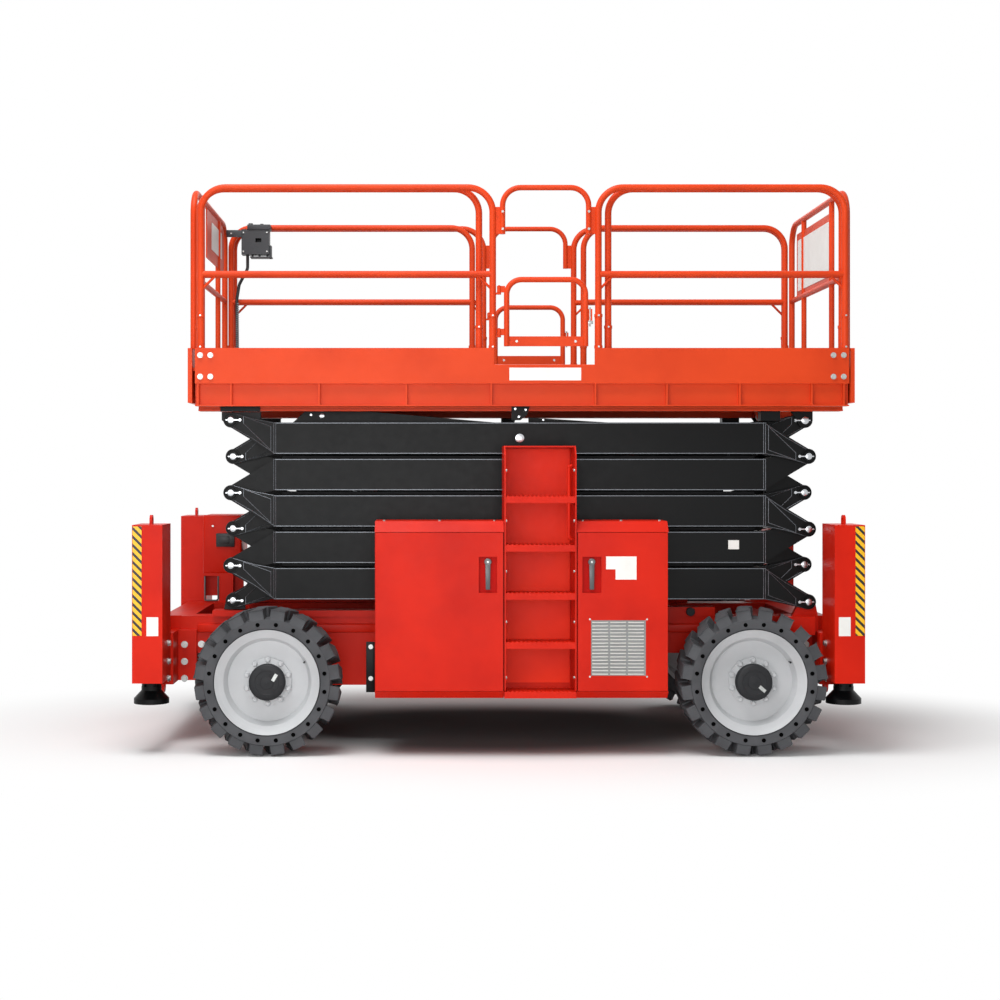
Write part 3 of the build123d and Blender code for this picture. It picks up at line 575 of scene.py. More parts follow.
class LIFT_OT_tyres(LiftOperator, bpy.types.Operator):
    """Lugged tyres with side holes, standing in for the plain CAD tyres"""
    bl_idname = "lift.tyres"
    bl_label = "Tyres"

    def build(self):
        for end, x in WHEEL_X.items():
            for side_name, side in SIDES.items():
                self.tyre(f"{end}_{side_name}", x, side)

    def tyre(self, place, x, side):
        mesh = new_mesh()
        inner = side * TYRE_Y[0]
        width = TYRE_Y[1] - TYRE_Y[0]
        root = WHEEL_R - sizes().lug_height
        # carcass: radius, distance out from the inner face
        profile = ((292.5, 28), (318, 10), (350, 2), (368, 4), (root - 4, 22), (root, 50),
                   (root, width - 50), (root - 4, width - 22), (369, width - 5), (372, width - 8),
                   (375, width - 5), (372, width), (340, width - 1), (318, width - 8), (316, width - 18),
                   (292.5, width - 42))
        add_lathe(mesh, profile, (x, inner, AXLE_Z), (0, side, 0), 96)
        count = sizes().lugs_per_side
        for shoulder in (0, 1):
            for number in range(count):
                angle = 2 * math.pi * (number + 0.5 * shoulder) / count
                self.lug(mesh, x, inner, side, angle, shoulder, root, width)
        self.side_holes(mesh, x, inner + side * width, side)
        self.keep_in_size(mesh, x, inner, side, width)
        piece = finish_piece(f"tyre_lugged_{place}", mesh, f"wheel_{place}", "tyre", 32)
        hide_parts(f"tyre_{place}")

    def lug(self, mesh, x, inner, side, angle, shoulder, root, width):
        """Tapered bar that starts on the side wall and runs past the middle of the tread."""
        half = sizes().lug_width / 2
        mid = width / 2
        direction = 1 if shoulder else -1
        made = bmesh.ops.create_cube(mesh, size=1.0)["verts"]
        reach = mid - 2
        for vert in made:
            across = vert.co.x * 2
            outer = vert.co.z > 0
            edge = vert.co.y > 0
            y_out = mid + direction * (reach - (10 if outer else 0)) if edge else mid - direction * 26
            radius = (WHEEL_R - (8 if edge else 0)) if outer else (374 if edge else root - 8)
            flare = 1.0 if edge else 0.62
            spread = half * flare * (1.0 if outer else 1.22)
            lean = (0.0 if edge else 30.0) * direction
            turn = angle + (across * spread + lean) / WHEEL_R
            vert.co = Vector((x + radius * math.sin(turn), inner + side * y_out,
                              AXLE_Z + radius * math.cos(turn))) * MM
        round_edges(mesh, edges_of(made), 5, 1)

    def keep_in_size(self, mesh, x, inner, side, width):
        """Draw the corners that the bevel throws out back to the tyre's radius and width."""
        for vert in mesh.verts:
            across = vert.co.x - x * MM
            up = vert.co.z - AXLE_Z * MM
            shrink = min(1.0, WHEEL_R * MM / math.hypot(across, up))
            out = min(max(side * (vert.co.y - inner * MM), 0.0), width * MM)
            vert.co = Vector((x * MM + across * shrink, inner * MM + side * out, AXLE_Z * MM + up * shrink))

    def side_holes(self, mesh, x, face, side):
        """Raised rims of the round pockets in the side wall."""
        for place in round_axle(x, face, HOLE_RING, HOLE_COUNT, HOLE_START):
            add_lathe(mesh, ((12.5, -1.5), (16, -1.5), (15, 0.2), (13.5, 0.2)), place, (0, side, 0), 14)


class LIFT_OT_hubs(LiftOperator, bpy.types.Operator):
    """Hub caps, their bolts and plates, and the pocket floors of the tyres"""
    bl_idname = "lift.hubs"
    bl_label = "Hubs"

    def build(self):
        for end, x in WHEEL_X.items():
            for side_name, side in SIDES.items():
                self.hub(f"{end}_{side_name}", x, side)

    def hub(self, place, x, side):
        body = f"wheel_{place}"
        face = side * (TYRE_Y[1] - 9)
        disc = side * (TYRE_Y[0] + RIM_DISC)
        self.cap(place, body, x, side, face)
        self.plate(place, body, x, side, face)
        self.nuts(place, body, x, side, disc)
        self.valve(place, body, x, side, disc)
        # painted shade: flat near-black discs on the side walls stand for the dark insides of the pockets
        holes = new_mesh()
        for seat in round_axle(x, side * (TYRE_Y[1] - 1.2), HOLE_RING, HOLE_COUNT, HOLE_START):
            add_rod(holes, seat, seat + Vector((0, side * 1.1, 0)), HOLE_R, 14)
        finish_piece(f"tyre_pockets_{place}", holes, body, "pocket")

    def cap(self, place, body, x, side, face):
        """Stepped cover with small bolts, every third one nearer the middle."""
        mesh = new_mesh()
        add_lathe(mesh, ((1, 0), (108.5, 0), (108.5, 38), (104, 45), (96, 49), (72, 50), (70, 48), (40, 48),
                         (38, 50.5), (14, 50.5), (12, 51), (1, 51)),
                  (x, face - side * 43, AXLE_Z), (0, side, 0), 56)
        for number in range(9):
            seat = round_axle(x, face + side * 3, 84 if number % 3 else 55, 1, 20 + 40 * number)[0]
            add_bolt(mesh, seat, (0, side, 0), 10, False)
        finish_piece(f"hub_cap_{place}", mesh, body, "cast")

    def plate(self, place, body, x, side, face):
        """Small bright plate, tilted, near the edge of the cap."""
        front = place.startswith("front")
        turn = Matrix.Rotation(math.radians(-60 if front else 40), 4, "Y")
        centre = Vector((x + 46, face + side * 8.2, AXLE_Z + (30 if front else -38)))
        mesh = new_mesh()
        for vert in bmesh.ops.create_cube(mesh, size=1.0)["verts"]:
            spot = Vector((vert.co.x * 46, vert.co.y * 1.4, vert.co.z * 20))
            vert.co = (centre + turn @ spot) * MM
        finish_piece(f"hub_plate_{place}", mesh, body, "zinc")

    def nuts(self, place, body, x, side, disc):
        mesh = new_mesh()
        axis = Vector((0, side, 0))
        for seat in round_axle(x, disc + side * 18.5, 129, 10):
            add_lathe(mesh, ((1, 0), (19, 0), (17, 6), (13, 10), (1, 10)), seat, axis, 16)
            add_rod(mesh, seat, seat + axis * 26, 11, 6)
        finish_piece(f"wheel_nuts_{place}", mesh, body, "rims")

    def valve(self, place, body, x, side, disc):
        mesh = new_mesh()
        foot = round_axle(x, disc + side * 10, 248, 1, 62)[0]
        add_rod(mesh, foot, foot + Vector((0, side * 42, 0)), 5, 12)
        add_rod(mesh, foot + Vector((0, side * 30, 0)), foot + Vector((0, side * 44, 0)), 6.5, 12)
        finish_piece(f"valve_{place}", mesh, body, "black_plastic")


# ------------------------------------------------------------------ outriggers and chassis
HAZARD_Z = (720, 1368)  # foot and top of the hazard panels
BRACKET_BOLT_ZS = (403, 509, 615)


class LIFT_OT_outrigger_trim(LiftOperator, bpy.types.Operator):
    """Hazard panels, blank labels and bolts on the outriggers"""
    bl_idname = "lift.outrigger_trim"
    bl_label = "Outrigger trim"

    def build(self):
        for end_name, end in ENDS.items():
            panels, labels, bolts = new_mesh(), new_mesh(), new_mesh()
            outer = end * POST_HIGH.x
            for side in SIDES.values():
                face = out(side, FACE_Y - 3.5, FACE_Y + 0.5)
                inner = outer - end * sizes().stripe_width
                add_block(panels, (outer - end * 3, inner), face, HAZARD_Z, 0.4, 1)
                # the part of the panel that wraps onto the end face
                add_block(panels, (outer - end * 2.3, outer + end * 0.3), out(side, FACE_Y - 150, FACE_Y - 3),
                          HAZARD_Z, 0.4, 1)
                add_block(labels, (outer - end * 86, outer - end * 156), face, (718, 830), 0.4, 1)
                self.bracket_bolts(bolts, end, side)
            finish_piece(f"hazard_panels_{end_name}", panels, "chassis", "stripes")
            finish_piece(f"outrigger_labels_{end_name}", labels, "chassis", "label")
            finish_piece(f"outrigger_bolts_{end_name}", bolts, "chassis", "zinc")

    def bracket_bolts(self, mesh, end, side):
        """Columns of bolts on the post's inboard face, on the end bracket and on the frame rail."""
        for z in (443, 546, 655):
            add_bolt(mesh, (end * POST_IN_X, side * 930, z), (-end, 0, 0), sizes().bolt_across)
        # the inner column has only its top bolt
        for x, y, heights in ((1936, 620, BRACKET_BOLT_ZS), (1833, 600, BRACKET_BOLT_ZS[-1:])):
            for z in heights:
                add_bolt(mesh, (end * x, side * y, z), (0, side, 0), sizes().bolt_across)


class LIFT_OT_chassis_trim(LiftOperator, bpy.types.Operator):
    """Bolts, cabinet tabs, rollers, plates and the ground control on the frame"""
    bl_idname = "lift.chassis_trim"
    bl_label = "Chassis trim"

    def build(self):
        bolts, tabs, rollers = new_mesh(), new_mesh(), new_mesh()
        for side in SIDES.values():
            for end in ENDS.values():
                for z in (440, 548, 656):
                    for y in (630, 700, 770):
                        add_bolt(bolts, (end * 2130, side * y, z), (end, 0, 0), 26)
            add_block(tabs, (-790, -733), out(side, 998, 1006), (367, 670), 1)
            for z in (450, 640):
                add_bolt(bolts, (-762, side * 1006, z), (0, side, 0), 20)
            add_lathe(rollers, ((1, -14), (24, -14), (27, -11), (27, 11), (24, 14), (1, 14)),
                      (1215, side * 636, 820), (0, side, 0), 24)
        finish_piece("frame_bolts", bolts, "chassis", "zinc")
        finish_piece("cabinet_tabs", tabs, "chassis", "arms")
        finish_piece("frame_rollers", rollers, "chassis", "cast")
        self.ground_control()
        self.plates()

    def ground_control(self):
        """Cabinet on a foot with a hand opening, standing in for the plain CAD one, and its fittings."""
        edging, cabinet, latch, screws = new_mesh(), new_mesh(), new_mesh(), new_mesh()
        add_torus_bar(edging, [(-1960, 517, 968), (-1960, 517, 812), (-1950, 517, 802), (-1880, 517, 802),
                               (-1868, 517, 812), (-1868, 517, 968)], 6)
        finish_piece("ground_control_edging", edging, "chassis", "lever")
        low, high = box_mm("valve_cabinet")
        add_box(cabinet, (low.x, low.y, 985), high, 14, 3)
        # foot round the opening
        for xs, zs in (((low.x, -1965), (low.z, 990)), ((-1863, -1765), (low.z, 990)),
                       ((-1965, -1863), (low.z, 800)), ((-1965, -1863), (970, 990))):
            add_block(cabinet, xs, (low.y, 600), zs)
        piece = finish_piece("ground_control_cabinet", cabinet, "chassis", "chassis")
        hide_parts("valve_cabinet")
        add_block(latch, (-1882, -1755), (508, 513), (1172, 1265), 3)
        add_block(latch, (-1866, -1790), (505, 509), (1192, 1246), 2)
        finish_piece("ground_control_latch", latch, "chassis", "black_plastic")
        for x, z in ((-1905, 1315), (-1898, 762), (-1730, 1315)):
            add_bolt(screws, (x, 520, z), (0, -1, 0), 14, False)
        finish_piece("ground_control_screws", screws, "chassis", "zinc")

    def plates(self):
        """Plate behind the ground control, flanges on the frame rails and gussets at their ends."""
        mesh = new_mesh()
        add_block(mesh, (-1968, -1700), (594, 598), (830, 985))
        for side in SIDES.values():
            for xs in ((-1858, -738), (1012, 1858)):
                add_block(mesh, xs, out(side, 599, 618), (688, 744), 12, 3)
            for end in ENDS.values():
                add_block(mesh, (end * 1860, end * 2110), out(side, 599, 620), (392, 706), 2, 1)
        finish_piece("frame_top_rails", mesh, "chassis", "chassis")


# ------------------------------------------------------------------ cabinets and ladders
DOOR_NODES = ("door_near_left", "door_near_right", "door_far_left", "door_far_right")
HANDLE_X = {"left": (-117, -9), "right": (497, 609)}  # the pocket that the lever lies in
HANDLE_Z = (974, 1188)
LEVER_Z = 1157  # axle of the lever
GRILLE_X = (548, 872)
GRILLE_Z = (484, 812)
SLOT_XS = [554 + 106 * column for column in range(3)]
SLOT_ZS = [489 + 20.4 * row for row in range(16)]
SLOT_WIDTH, SLOT_HEIGHT = 96, 10


class LIFT_OT_cabinet_trim(LiftOperator, bpy.types.Operator):
    """Right-hand doors with their grilles, and the levers, hinges, blank labels and bolts"""
    bl_idname = "lift.cabinet_trim"
    bl_label = "Cabinet trim"

    def build(self):
        for name in DOOR_NODES:
            self.door(name)
        self.shell_bolts()

    def door(self, name):
        low, high = box_mm(name)
        side = NEAR if "near" in name else FAR
        hand = name.rsplit("_", 1)[1]
        face = side * FACE_Y
        self.lever(name, side, face, HANDLE_X[hand])
        hinge = new_mesh()
        x = low.x + 14 if hand == "left" else high.x - 14
        for z in (500, 862, 1224):
            add_rod(hinge, (x, face - side * 6, z - 45), (x, face - side * 6, z + 45), 6, 14)
        finish_piece(f"{name}_hinges", hinge, name, "chassis")
        if hand == "right":
            self.panel(name, side, low, high)
            self.grille(name, side, face)
        if name == "door_near_right":
            label = new_mesh()
            for left, heights in ((637, (1114, 1190)), (693, (1053, 1114))):
                add_block(label, (left, 817), out(side, FACE_Y - 1.9, FACE_Y + 0.4), heights, 0.3, 1)
            finish_piece(f"{name}_label", label, name, "label")

    def lever(self, name, side, face, pocket_x):
        """Tapered lever on its round boss, the floor of its pocket in a darker red as painted shade, and the
        bolt.
        """
        axis = Vector((0, side, 0))
        mid = sum(pocket_x) / 2
        lever, pocket, bolt = new_mesh(), new_mesh(), new_mesh()
        for vert in bmesh.ops.create_cube(lever, size=1.0)["verts"]:
            top = vert.co.z > 0
            depth = 8 - vert.co.y * side * 12
            vert.co = Vector((mid + vert.co.x * (31 if top else 26), face - side * depth,
                              1142 if top else 993)) * MM
        round_edges(lever, lever.edges[:], 3, 2)
        add_lathe(lever, ((1, -14), (21, -14), (21, -4), (18, -1.5), (1, -1.5)), (mid, face, LEVER_Z), axis,
                  28)
        finish_piece(f"{name}_lever", lever, name, "lever")
        # painted shade: a darker red sheet laid on the floor of the pocket
        add_block(pocket, (pocket_x[0] + 0.5, pocket_x[1] - 0.5), out(side, FACE_Y - 18.6, FACE_Y - 17.4),
                  (HANDLE_Z[0] + 0.5, HANDLE_Z[1] - 0.5))
        finish_piece(f"{name}_pocket", pocket, name, "recess")
        add_bolt(bolt, (mid, face - side * 7.5, LEVER_Z), axis, 12, False)
        finish_piece(f"{name}_lever_bolt", bolt, name, "zinc")

    def panel(self, name, side, low, high):
        """Door panel round the handle pocket and the grille, standing in for the plain CAD door."""
        mesh = new_mesh()
        left, right = HANDLE_X["right"]
        above = (HANDLE_Z[1], high.z)
        below = (low.z, GRILLE_Z[0])
        # columns of the panel, with the heights at which each is full depth
        table = (((low.x, left), ((low.z, high.z),)),
                 ((left, GRILLE_X[0]), ((low.z, HANDLE_Z[0]), above)),
                 ((GRILLE_X[0], right), (below, (GRILLE_Z[1], HANDLE_Z[0]), above)),
                 ((right, GRILLE_X[1]), (below, (GRILLE_Z[1], high.z))),
                 ((GRILLE_X[1], high.x), ((low.z, high.z),)))
        for xs, bands in table:
            for zs in bands:
                add_block(mesh, xs, out(side, FACE_Y - 28, FACE_Y), zs)
        add_block(mesh, (left, right), out(side, FACE_Y - 28, FACE_Y - 18.6), HANDLE_Z)
        piece = finish_piece(f"{name}_panel", mesh, name, "chassis")
        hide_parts(name)

    def grille(self, name, side, face):
        """Grey sheet round the three columns of slots, and a sloping blade in every slot."""
        sheet, blades, back, bolts = new_mesh(), new_mesh(), new_mesh(), new_mesh()
        skin = out(side, FACE_Y - 2.5, FACE_Y - 0.5)
        for xs in zip([GRILLE_X[0]] + [x + SLOT_WIDTH for x in SLOT_XS], SLOT_XS + [GRILLE_X[1]]):
            add_block(sheet, xs, skin, GRILLE_Z)
        for left in SLOT_XS:
            for zs in zip([GRILLE_Z[0]] + [z + SLOT_HEIGHT for z in SLOT_ZS], SLOT_ZS + [GRILLE_Z[1]]):
                add_block(sheet, (left, left + SLOT_WIDTH), skin, zs)
            for low in SLOT_ZS:
                for vert in bmesh.ops.create_cube(blades, size=1.0)["verts"]:
                    front = vert.co.y * side > 0
                    vert.co = Vector((left + 48 + vert.co.x * 95, face - side * (0.5 if front else 9),
                                      low + (3 if front else 9) + vert.co.z * 3)) * MM
        finish_piece(f"{name}_grille_sheet", sheet, name, "sheet")
        finish_piece(f"{name}_grille_blades", blades, name, "label")
        add_block(back, (550, 870), out(side, FACE_Y - 17, FACE_Y - 15), (486, 810))
        finish_piece(f"{name}_mesh_back", back, name, "sheet")
        for x in (541, 879):
            for z in (478, 818):
                add_bolt(bolts, (x, face - side * 6, z), (0, side, 0), 11, False)
        finish_piece(f"{name}_grille_bolts", bolts, name, "zinc")

    def shell_bolts(self):
        bolts = new_mesh()
        for side in SIDES.values():
            for x in (-680, -350, -20, 505, 735, 965):
                add_bolt(bolts, (x, side * (FACE_Y - 100), 1396.5), (0, 0, 1), 14)
        finish_piece("cabinet_bolts", bolts, "chassis", "zinc")


TREAD_ZS = (387, 680, 971, 1257, 1545)  # tops of the ladder's treads


class LIFT_OT_ladder_trim(LiftOperator, bpy.types.Operator):
    """Serrated tread lips, back sheets brightened as painted light, side bolts and the grab rails"""
    bl_idname = "lift.ladder_trim"
    bl_label = "Ladder trim"

    def build(self):
        low, high = box_mm("boarding_ladders")
        teeth, bolts, rails, backs = new_mesh(), new_mesh(), new_mesh(), new_mesh()
        for side in SIDES.values():
            face = side * FACE_Y
            # painted light: brighter red sheets on the backs of the ladders, lifting the shade of the recess
            add_block(backs, (low.x + 12, high.x - 12), out(side, 799.5, 803), (400, 1830), 1, 1)
            for z in TREAD_ZS:
                x = low.x + 16
                while x < high.x - 24:
                    add_block(teeth, (x, x + 5), out(side, FACE_Y - 190, FACE_Y - 12), (z, z + 3), 1, 1)
                    add_block(teeth, (x, x + 12), out(side, FACE_Y - 12, FACE_Y - 4), (z - 2, z + 5), 2, 1)
                    x += 26
            for z in (470, 800, 1100, 1400, 1700):
                for x in (low.x + 0.5, high.x - 0.5):
                    toward = 1 if x < 200 else -1
                    add_bolt(bolts, (x + toward * 8, face - side * 30, z), (toward, 0, 0), 14)
            right = high.x - 26
            add_torus_bar(rails, [(right, face - side * 20, 1290), (right - 18, face - side * 14, 1300),
                                  (right - 18, face - side * 14, 1720), (right, face - side * 20, 1730)], 9)
        finish_piece("ladder_tread_teeth", teeth, "chassis", "chassis")
        finish_piece("ladder_back_painted_light_sheets", backs, "chassis", "ladder")
        finish_piece("ladder_bolts", bolts, "chassis", "zinc")
        finish_piece("ladder_grab_rails", rails, "chassis", "chassis")


# ------------------------------------------------------------------ scissor stack hardware
def pin_height(number):
    return BASE_PIN.z + number * PITCH


def level_height(level):
    return BASE_PIN.z + (level - 0.5) * PITCH


class LIFT_OT_pin_hardware(LiftOperator, bpy.types.Operator):
    """Bright pin ends with their keeper bars, and the raised rings of the eyes"""
    bl_idname = "lift.pin_hardware"
    bl_label = "Pin hardware"

    def build(self):
        for level in range(1, LEVELS + 1):
            if level % 2:
                # the forks: outer family first, then inner; pin number at the left and the right
                self.fork("outer", level, ((LEFT_PIN_X, level, 1), (RIGHT_PIN_X, level - 1, -1)))
                self.fork("inner", level, ((LEFT_PIN_X, level - 1, 1), (RIGHT_PIN_X, level, -1)))
            centre = new_mesh()
            for side in SIDES.values():
                add_lathe(centre, ((1, 0), (27, 0), (27, 1.6), (25, 2.4), (1, 2.4)),
                          (CENTRE_X, side * 763, level_height(level)), (0, side, 0), 28)
            finish_piece(f"pin_ends_centre_{level}", centre, f"inner_arms_{level}", "pins")

    def fork(self, family, level, ends):
        """Pin ends and keepers of one pair of forks, on both sides of the machine."""
        face = BEAMS[family][1]
        bright, rings = new_mesh(), new_mesh()
        for x, number, inboard in ends:
            z = pin_height(number)
            for side in SIDES.values():
                axis = (0, side, 0)
                head = side * (face + 12)
                add_lathe(bright, ((1, 0), (19, 0), (20, 0.8), (20, 3.6), (17, 4.8), (1, 4.8)),
                          (x, head, z), axis, 24)
                add_block(bright, (x - inboard * 32, x + inboard * 60), (head, head + side * 3),
                          (z - 4.5, z + 4.5), 1.2, 1)
                tip = x + inboard * 57
                add_rod(bright, (tip, side * face, z), (tip, head + side * 6, z), 9, 14)
                add_lathe(rings, ((23, 0), (32, 0), (31, 2.2), (24, 2.2)), (x, head, z), axis, 28)
                add_lathe(rings, ((36, 0), (46.5, 0), (45, 5), (38, 5)), (x, side * face, z), axis, 32)
        body = f"{family}_arms_{level}"
        finish_piece(f"pin_ends_{family}_{level}", bright, body, "pins")
        finish_piece(f"eye_rings_{family}_{level}", rings, body, "arms")


class LIFT_OT_slide_shoes(LiftOperator, bpy.types.Operator):
    """Slide shoes with the outline of their castings, standing in for the plain CAD blocks"""
    bl_idname = "lift.slide_shoes"
    bl_label = "Slide shoes"

    def build(self):
        x, low, high = LEFT_PIN_X, BASE_PIN.z, TOP_PIN.z
        upper = ([(x - 60, high + 50), (x - 60, high)] + arc((x, high), 45, 200, 275)
                 + [(x + 70, high - 38), (x + 180, high), (x + 180, high + 50)])
        lower = ([(x - 60, low - 57), (x - 56, low - 34)] + arc((x, low), 45, 150, 30)
                 + [(x + 66, low - 12), (x + 70, low - 57)])
        for name, outline in (("upper_slide_shoes", upper), ("lower_slide_shoes", lower)):
            mesh = new_mesh()
            far = 721 if name.startswith("upper") else 601
            for side in SIDES.values():
                add_slab(mesh, outline, *sorted(out(side, far - 52, far)))
            piece = finish_piece(f"{name}_cast", mesh, name, "cast")
            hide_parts(name)


class LIFT_OT_arm_edges(LiftOperator, bpy.types.Operator):
    """Raised beads of the fork castings and light strips along the beams' edges, both light grey as painted
    highlights, and the strips between the levels
    """
    bl_idname = "lift.arm_edges"
    bl_label = "Arm edges"

    def build(self):
        for level in range(1, LEVELS + 1):
            for family, (_, outer) in BEAMS.items():
                edges, strips = new_mesh(), new_mesh()
                body = f"{family}_arms_{level}"
                mid = level_height(level)
                seams = (LEFT_PIN_X + SEAM_RUN, RIGHT_PIN_X - SEAM_RUN)
                for side in SIDES.values():
                    # painted highlight: thin light strips along the top and bottom edges of each beam
                    for z in (mid - 93, mid + 93):
                        add_block(edges, seams, out(side, outer - 1, outer + 0.8), (z - 2.2, z + 2.2))
                    if level % 2:
                        self.casting_beads(edges, family, level, mid, side * outer)
                    if family == "inner" and level < LEVELS:
                        add_block(strips, (seams[0] + 30, seams[1] - 30), out(side, 545, 575),
                                  (mid + 96, mid + 119), 3, 1)
                finish_piece(f"edge_lines_{family}_{level}", edges, body, "weld")
                if len(strips.verts):
                    finish_piece(f"rub_strips_{level}", strips, body, "cast")
                else:
                    strips.free()

    def casting_beads(self, mesh, family, level, mid, face):
        """Beads round the pocket and along both edges of each fork, light grey as painted highlights."""
        numbers = (level, level - 1) if family == "outer" else (level - 1, level)
        for pin_x, number, inboard in ((LEFT_PIN_X, numbers[0], 1), (RIGHT_PIN_X, numbers[1], -1)):
            pin_z = pin_height(number)
            seam = pin_x + inboard * SEAM_RUN
            pocket = [(seam - inboard * 24, mid - 73), (seam - inboard * 24, mid + 73),
                      (pin_x + inboard * 78, pin_z + 22), (pin_x + inboard * 78, pin_z - 22)]
            add_torus_bar(mesh, [(x, face, z) for x, z in pocket + pocket[:2]], 2.4, 6)
            for up in (-1, 1):
                start = Vector((pin_x + inboard * 12, face, pin_z + up * 44))
                end = Vector((seam, face, mid + up * 94))
                middle = (start + end) / 2 - Vector((0, 0, up * 7))
                add_torus_bar(mesh, [start, middle, end], 2.4, 6)


class LIFT_OT_arm_welds(LiftOperator, bpy.types.Operator):
    """Twin weld beads, light grey as painted highlights, where the beams meet their end castings, and the
    wing plates of the top pair
    """
    bl_idname = "lift.arm_welds"
    bl_label = "Arm welds"

    def build(self):
        for level in range(1, LEVELS + 1):
            for family, faces in BEAMS.items():
                mesh = new_mesh()
                body = f"{family}_arms_{level}"
                low, high = level_height(level) - 96, level_height(level) + 96
                for x, inboard in ((LEFT_PIN_X + SEAM_RUN, 1), (RIGHT_PIN_X - SEAM_RUN, -1)):
                    for side in SIDES.values():
                        y0, y1 = out(side, *faces)
                        corners = ((y0, low), (y1, low), (y1, high), (y0, high), (y0, low))
                        for shift in (-6, 6):
                            add_torus_bar(mesh, [(x + inboard * shift, y, z) for y, z in corners], 2.2, 6)
                finish_piece(f"weld_beads_{family}_{level}", mesh, body, "weld")
        self.wings()
        plate = new_mesh()
        mid = level_height(2)
        add_box(plate, (1430, -751, mid - 12), (1497, -749.5, mid + 44), 1, 1)
        finish_piece("arm_blank_plate", plate, "outer_arms_2", "label")

    def wings(self):
        """Shaped plates on top of the uppermost inner beams, with their cross tube, pins and bolts."""
        pins, wings = new_mesh(), new_mesh()
        mid = level_height(LEVELS)
        tube_x, tube_z = -1080, mid + 142
        long_wing = ((-1273, 90), (-1165, 188), (-1016, 188), (29, 98), (29, 90))
        short_wing = ((208, 90), (208, 132), (747, 98), (747, 90))
        for side in SIDES.values():
            axis = (0, side, 0)
            for outline in (long_wing, short_wing):
                add_slab(wings, [(x, mid + rise) for x, rise in outline], *sorted(out(side, 600, 612)))
            add_rod(wings, (tube_x, side * 92, tube_z), (tube_x, side * 604, tube_z), 30, 24)
            add_lathe(pins, ((1, 0), (15, 0), (17, 1), (17, 4), (14, 5.5), (1, 5.5)),
                      (tube_x, side * 612, tube_z), axis, 24)
            add_bolt(pins, (-1148, side * 612, tube_z + 6), axis, 13, False)
            add_bolt(pins, (300, side * 612, tube_z - 25), axis, 11, False)
        finish_piece("wing_plate_pins", pins, "inner_arms_5", "pins")
        finish_piece("wing_plates", wings, "inner_arms_5", "arms")


# ------------------------------------------------------------------ platform
ROLLOUT_FLOOR = (850, 2327.5, 2329.5)  # half width, low and high of the floor plates
MAIN_FLOOR = (862, 2299.5, 2302)
HANGER_Y = (758, 764)  # faces of the hangers and shoe covers
CHEEK_Y = (648, 658)  # faces of the cheeks that hold the top pins


class LIFT_OT_deck_trim(LiftOperator, bpy.types.Operator):
    """Floor plates, toe board bolts, rolled edges, blank plates and the brackets under the deck"""
    bl_idname = "lift.deck_trim"
    bl_label = "Deck trim"

    def build(self):
        self.floor("left_rollout", (-1848, -88), ROLLOUT_FLOOR)
        self.floor("right_rollout", (663, 2144), ROLLOUT_FLOOR)
        self.floor("main", (DECK_LOW.x + 4, DECK_HIGH.x - 4), MAIN_FLOOR)
        self.toe_boards()
        self.pins()
        self.brackets()

    def floor(self, name, xs, shape):
        half, low, high = shape
        mesh = new_mesh()
        add_block(mesh, xs, (-half, half), (low, high))
        body = "platform" if name == "main" else name
        finish_piece(f"floor_plate_{name}", mesh, body, "floor_plate")

    def toe_boards(self):
        """Bolts at the corners, rolled edges round the gateway and a blank plate under it."""
        bolts, rods, plates = new_mesh(), new_mesh(), new_mesh()
        gateway = (-20, 600)
        for side in SIDES.values():
            face = side * TOE_Y
            edge = side * (TOE_Y - 8)
            for x in (DECK_LOW.x + 34, DECK_LOW.x + 96, DECK_HIGH.x - 96, DECK_HIGH.x - 34):
                for z in (2268, 2398):
                    add_bolt(bolts, (x, face, z), (0, side, 0), 24)
            for x in gateway:
                add_rod(rods, (x, edge, 2236), (x, edge, 2441), 8, 14)
            add_rod(rods, (gateway[0], edge, 2334), (gateway[1], edge, 2334), 8, 14)
            add_block(plates, (75, 510), out(side, TOE_Y - 1.5, TOE_Y + 0.5), (2245, 2322), 0.4, 1)
        finish_piece("toe_board_bolts", bolts, "platform", "zinc")
        finish_piece("gateway_rolled_edges", rods, "platform", "platform")
        finish_piece("gateway_plates", plates, "platform", "label")

    def pins(self):
        """Ends of the pins that the top arms turn on, their keepers and the hanger bolts."""
        pins, rings = new_mesh(), new_mesh()
        x, z = RIGHT_PIN_X, TOP_PIN.z
        for side in SIDES.values():
            axis = (0, side, 0)
            seat = (x, side * CHEEK_Y[1], z)
            add_lathe(pins, ((1, 0), (21, 0), (23, 1), (23, 4), (20, 5.5), (1, 5.5)), seat, axis, 24)
            add_block(pins, (x - 66, x + 34), out(side, CHEEK_Y[1], CHEEK_Y[1] + 3),
                      (z - 4.5, z + 4.5), 1.2, 1)
            add_lathe(rings, ((28, 0), (37, 0), (36, 2.5), (29, 2.5)), seat, axis, 28)
            for bolt_x, bolt_z in ((118, 2078), (182, 2072), (140, 2030)):
                add_bolt(pins, (bolt_x, side * HANGER_Y[1], bolt_z), axis, 13, False)
        finish_piece("deck_pin_ends", pins, "platform", "pins")
        finish_piece("deck_pin_rings", rings, "platform", "arms")

    def brackets(self):
        """Black shoe covers, hangers, stops and the cheeks beside the top pins."""
        mesh = new_mesh()
        x, z = RIGHT_PIN_X, TOP_PIN.z
        hanger = [(95, 2008), (150, 2008), (190, 2040), (208, 2092), (95, 2092)]
        cheek = arc((x, z), 47, 180, 360) + [(x + 47, 2065), (x - 88, 2065)]
        for side in SIDES.values():
            add_block(mesh, (-1695, -1451), out(side, *HANGER_Y), (2062, 2095), 1, 1)
            add_slab(mesh, hanger, *sorted(out(side, *HANGER_Y)))
            add_block(mesh, (1633, 1752), out(side, 643, 747), (2003, 2065), 2, 1)
            add_slab(mesh, cheek, *sorted(out(side, *CHEEK_Y)))
        finish_piece("deck_brackets", mesh, "platform", "arms")


